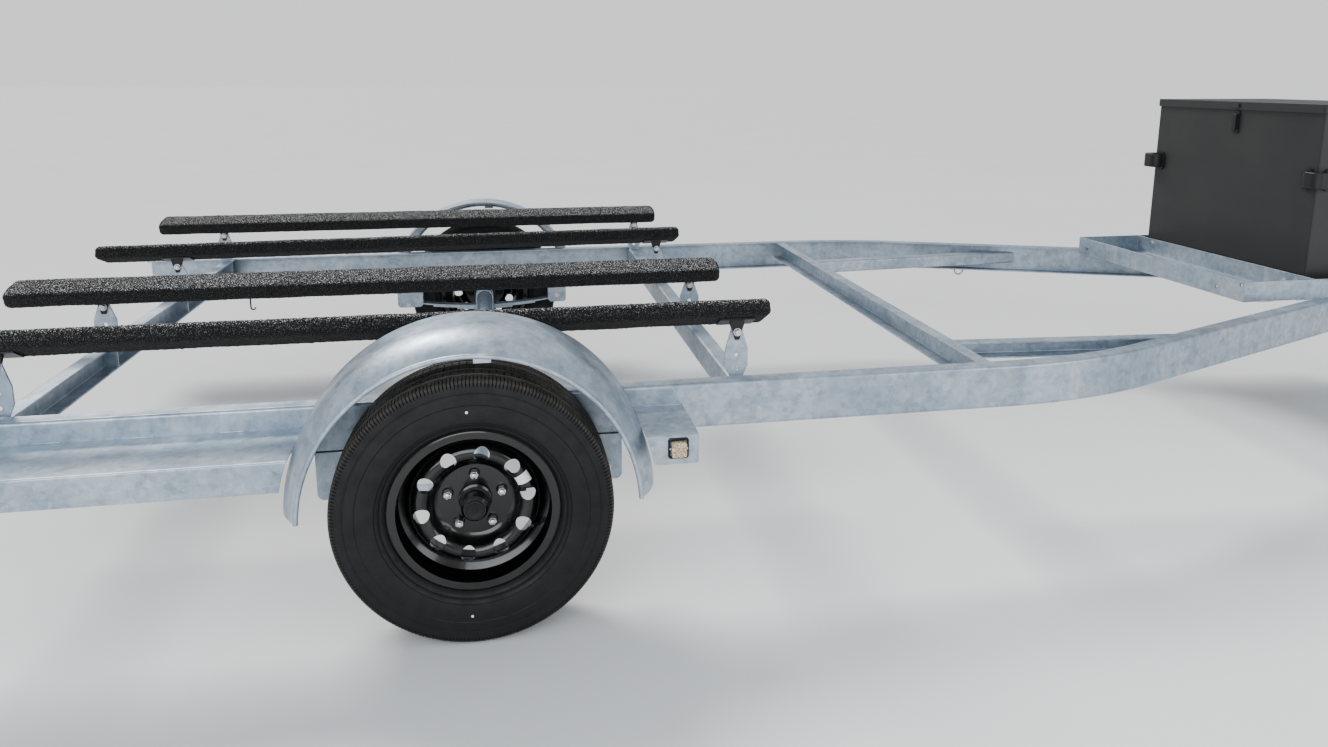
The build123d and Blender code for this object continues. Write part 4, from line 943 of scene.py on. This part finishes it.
def fasteners():
    """Plated bolts and nuts."""
    sketch = Sketch()
    bunk_bolts(sketch)
    spring_bolts(sketch)
    nose_bolts(sketch)
    tray_bolts(sketch)
    sketch.done("frame_bolts", ZINC, "trailer", "bright_steel", 30)


# Small turned profiles, as (radius, height) pairs from axis to axis
BEZEL_SCREW = [(0, 0), (0.0026, 0), (0.0024, 0.0012), (0.0012, 0.0018), (0, 0.0018)]
HASP_RIVET = [(0, 0), (0.0042, 0), (0.0036, 0.0016), (0.0018, 0.0024), (0, 0.0025)]
HINGE_SCREW = [(0, -0.0005), (0.0034, -0.0005), (0.0030, 0.0012), (0.0014, 0.0019), (0, 0.0019)]
HANDLE_SCREW = [(0, -0.0005), (0.0048, -0.0005), (0.0042, 0.0016), (0.0020, 0.0026), (0, 0.0026)]
JACK_RIM = [(0, 0), (0.0150, 0), (0.0150, 0.003), (0.0125, 0.005), (0, 0.005)]
NIPPLE = [(0, -0.001), (0.0045, -0.001), (0.0045, 0.003), (0.0026, 0.0042), (0.0026, 0.008),
          (0.0034, 0.009), (0.0022, 0.0115), (0, 0.0118)]


def lamp_trim():
    """Dark bezels and screws of the marker lamps."""
    bezels, screws = Sketch(), Sketch()
    for _, sign in SIDES:
        place = looking(at(MARKER_X, sign * STEP_OUTER, MARKER_Z), (0, sign, 0))
        width_way = place.to_3x3() @ Vector((1, 0, 0))
        if abs(width_way.z) > 0.5:
            place = place @ Matrix.Rotation(pi / 2, 4, "Z")
        frame_ring(bezels, place, width=0.052, height=0.053, border=0.0050, depth=0.0065, corner=0.007)
        for dx in (-0.0215, 0.0215):
            spot = at(MARKER_X + dx, sign * (STEP_OUTER + 0.0048), MARKER_Z)
            screws.turned(looking(spot, (0, sign, 0)), BEZEL_SCREW, 14)
    bezels.done("lamp_bezels", BLACK_STEEL, "trailer", "black_steel")
    screws.done("lamp_screws", ZINC, "trailer", "bright_steel", 30)


def frame_ring(sketch, place, width, height, border, depth, corner):
    """Rounded rectangular bezel, its outer edge eased."""
    outer = rounded(width, height, corner)
    inner = rounded(width - 2 * border, height - 2 * border, corner - border * 0.6)
    ease = 0.35
    shrunk = [(x + (u - x) * ease, y + (v - y) * ease) for (x, y), (u, v) in zip(outer, inner)]
    rows = [(outer, 0.0), (outer, depth * 0.6), (shrunk, depth), (inner, depth * 0.85), (inner, 0.0)]
    points = [place @ Vector((x, y, z)) for outline, z in rows for x, y in outline]
    count = len(outer)
    faces = []
    for row in range(len(rows)):
        after = (row + 1) % len(rows)
        for k in range(count):
            j = (k + 1) % count
            faces.append((row * count + k, row * count + j, after * count + j, after * count + k))
    sketch.shell(points, faces)


def hasp_rivets(sketch):
    """Two rivets in the hasp's plate."""
    low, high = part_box("box_latch")
    for rise in (0.007, 0.019):
        spot = Vector((low[0] + 0.0090, (low[1] + high[1]) / 2, low[2] + rise))
        sketch.turned(looking(spot, (-1, 0, 0)), HASP_RIVET, 16)


def hinge_screws(sketch):
    """Two screws in each hinge leaf, the inner leaves up on the lid and the outer ones down on the body."""
    low_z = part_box("box_hinges")[0][2] + 0.0050
    high_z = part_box("box_lid")[1][2] - 0.0125
    for y, z in ((-0.391, low_z), (-0.330, high_z), (0.330, high_z), (0.391, low_z)):
        for dy in (-0.018, 0.018):
            sketch.turned(looking(at(BOX_FRONT + 0.0110, y + dy, z), (1, 0, 0)), HINGE_SCREW, 14)


def handle_screws(sketch):
    """Two screws in each pad of the corner handles."""
    low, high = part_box("box_handles")
    z = (low[2] + high[2]) / 2
    inset, proud = 0.042, 0.006
    for _, sign in SIDES:
        for dz in (-0.030, 0.030):
            rear = at(BOX_REAR - proud, sign * (BOX_HALF - inset), z + dz)
            side = at(BOX_REAR + inset, sign * (BOX_HALF + proud), z + dz)
            sketch.turned(looking(rear, (-1, 0, 0)), HANDLE_SCREW, 16)
            sketch.turned(looking(side, (0, sign, 0)), HANDLE_SCREW, 16)


def box_details():
    """Rivets and screws of the box's fittings."""
    sketch = Sketch()
    hasp_rivets(sketch)
    hinge_screws(sketch)
    handle_screws(sketch)
    sketch.done("box_rivets", BLACK_STEEL, "trailer", "black_steel", 30)


def bunk_hook():
    """Small bent hook that hangs under a bunk."""
    x, y, top = -0.700, -0.376, 0.700
    bend = 0.007
    path = [at(x, y, top - 0.006 * k) for k in range(6)]
    for k in range(1, 10):
        turn = radians(20 * k)
        path.append(at(x + bend * (1 - cos(turn)), y, top - 0.032 - bend * sin(turn)))
    sketch = Sketch()
    sketch.swept(path, 0.0022, 10)
    sketch.done("bunk_hook", BLACK_STEEL, "trailer", "black_steel")


def jack_details():
    """Crank bolt, cap rim, grease nipple and axle nuts of the jack."""
    sketch = Sketch()
    sketch.turned(looking(at(JACK_X, 0, JACK_TOP + 0.0355), (0, 0, 1)), JACK_RIM, 24)
    hexagon_head(sketch, looking(at(JACK_X, 0, JACK_TOP + 0.0400), (0, 0, 1)), *CRANK_BOLT)
    sketch.turned(looking(at(JACK_X, 0.0285, RAIL_TOP + 0.255), (0, 1, 0)), NIPPLE, 14)
    sketch.done("jack_fittings", ZINC, "trailer", "bright_steel", 30)
    nuts = Sketch()
    fork_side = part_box("jack_fork")[1][1]
    for side in (-1, 1):
        place = looking(at(JACK_X - JACK_TRAIL, side * fork_side, JACK_AXLE_Z), (0, side, 0))
        hexagon_head(nuts, place @ Matrix.Translation((0, 0, -0.0050)), *JACK_AXLE_NUT)
    nuts.done("jack_axle_nuts", ZINC, "jack_caster", "bright_steel", 30)


# Ground and light
FLOOR_GREY = 0.74
FLOOR_HALF = 120.0
SURROUND = (0.86, 0.90, 0.95)
SURROUND_STRENGTH = 0.55
SUN_STRENGTH = 2.2
SUN_HEIGHT = radians(48)
SUN_COLOUR = (1.0, 0.965, 0.92)
SUN_ANGLE = radians(24)
SUN_WAY = (-0.45, 0.89)


def ground():
    """Plain pale ground that runs out of every view."""
    corners = [(-FLOOR_HALF, -FLOOR_HALF, 0), (FLOOR_HALF, -FLOOR_HALF, 0),
               (FLOOR_HALF, FLOOR_HALF, 0), (-FLOOR_HALF, FLOOR_HALF, 0)]
    mesh = bpy.data.meshes.new("floor")
    mesh.from_pydata(corners, [], [(0, 1, 2, 3)])
    f = Finish("floor_paint", Metallic=0.0, Roughness=0.9, Specular_IOR_Level=0.2)
    f.feed("Base Color", f.ramp(f.noise(0.7, 3.0), (0.3, FLOOR_GREY - 0.01), (0.7, FLOOR_GREY + 0.01)))
    mesh.materials.append(f.material)
    floor = bpy.data.objects.new("floor", mesh)
    bpy.context.scene.collection.objects.link(floor)


def area_light(name, position, target, size, energy, colour):
    """Rectangular lamp that looks at a target."""
    data = bpy.data.lights.new(name, "AREA")
    data.shape = "RECTANGLE"
    data.size, data.size_y = size
    data.energy = energy
    data.color = colour
    lamp = bpy.data.objects.new(name, data)
    lamp.location = position
    aim = Vector(target) - Vector(position)
    lamp.rotation_euler = aim.to_track_quat("-Z", "Y").to_euler()
    bpy.context.scene.collection.objects.link(lamp)


def surround():
    """Even pale light from all round, seen by the camera in the far floor's own shade."""
    world = bpy.data.worlds.new("surround")
    world.use_nodes = True
    tree = world.node_tree
    light = tree.nodes["Background"]
    light.inputs["Color"].default_value = (*SURROUND, 1.0)
    light.inputs["Strength"].default_value = SURROUND_STRENGTH
    sunlit = SUN_STRENGTH * sin(SUN_HEIGHT) / pi
    far_floor = [FLOOR_GREY * (SURROUND_STRENGTH * sky + sunlit * sun)
                 for sky, sun in zip(SURROUND, SUN_COLOUR)]
    seen = tree.nodes.new("ShaderNodeBackground")
    seen.inputs["Color"].default_value = (*far_floor, 1.0)
    choice = tree.nodes.new("ShaderNodeMixShader")
    tree.links.new(tree.nodes.new("ShaderNodeLightPath").outputs["Is Camera Ray"], choice.inputs[0])
    tree.links.new(light.outputs[0], choice.inputs[1])
    tree.links.new(seen.outputs[0], choice.inputs[2])
    tree.links.new(choice.outputs[0], tree.nodes["World Output"].inputs["Surface"])
    bpy.context.scene.world = world


def lights():
    """Soft studio: a wide high key from behind the far side, and cool fills on the near side."""
    data = bpy.data.lights.new("key", "SUN")
    data.energy = SUN_STRENGTH
    data.angle = SUN_ANGLE
    data.color = SUN_COLOUR
    key = bpy.data.objects.new("key", data)
    toward = Vector((SUN_WAY[0] * cos(SUN_HEIGHT), SUN_WAY[1] * cos(SUN_HEIGHT), sin(SUN_HEIGHT)))
    key.rotation_euler = (-toward).to_track_quat("-Z", "Y").to_euler()
    bpy.context.scene.collection.objects.link(key)
    area_light("fill", (-3.2, -5.5, 2.8), target=(-1.2, -0.8, 0.5), size=(5.0, 3.0), energy=150.0,
               colour=(0.90, 0.95, 1.0))
    area_light("front", (3.5, -5.0, 2.4), target=(0.6, -0.6, 0.6), size=(4.0, 2.5), energy=80.0,
               colour=(0.93, 0.96, 1.0))
    surround()


# The photograph's camera: place in metres from the axle, turns in radians, lens in pixels
CAMERA_FROM_AXLE = Vector((0.081, -3.39, 1.389))
CAMERA_YAW = 0.179
CAMERA_PITCH = 0.1855
CAMERA_ROLL = -0.002
FOCAL_PIXELS = 921.0
PICTURE_WIDTH, PICTURE_HEIGHT = 1328.0, 747.0
PRINCIPAL_ROW = 249.0


def camera():
    """Stands where the photograph was taken; the picture is the lower part of a taller frame."""
    level = Vector((cos(CAMERA_YAW), -sin(CAMERA_YAW), 0))
    ahead = Vector((sin(CAMERA_YAW), cos(CAMERA_YAW), 0))
    forward = ahead * cos(CAMERA_PITCH) - Vector((0, 0, sin(CAMERA_PITCH)))
    down = forward.cross(level)
    right = cos(CAMERA_ROLL) * level + sin(CAMERA_ROLL) * down
    up = sin(CAMERA_ROLL) * level - cos(CAMERA_ROLL) * down
    data = bpy.data.cameras.new("camera")
    data.sensor_width = 36.0
    data.sensor_fit = "HORIZONTAL"
    data.lens = FOCAL_PIXELS / PICTURE_WIDTH * data.sensor_width
    data.shift_y = (PRINCIPAL_ROW - PICTURE_HEIGHT / 2) / PICTURE_WIDTH
    data.clip_end = 200.0
    item = bpy.data.objects.new("camera", data)
    turn = Matrix((right, up, -forward)).transposed().to_4x4()
    item.matrix_world = Matrix.Translation(Vector((AXLE_X, 0, 0)) + CAMERA_FROM_AXLE) @ turn
    bpy.context.scene.collection.objects.link(item)
    bpy.context.scene.camera = item


def look():
    """Plain, neutral picture settings."""
    view = bpy.context.scene.view_settings
    view.view_transform = "AgX"
    view.look = "AgX - Medium High Contrast"
    view.exposure = 0.12


dress_frame()
for side_name, sign in SIDES:
    for make in (tyre, lug_nuts, dust_cap, valve, blank_label, sidewall_dots):
        make(side_name, sign)
for number, row in enumerate(BUNKS):
    bunk_surface(row, 11.0 * number)
welds()
fasteners()
lamp_trim()
box_details()
bunk_hook()
jack_details()
ground()
lights()
camera()
look()
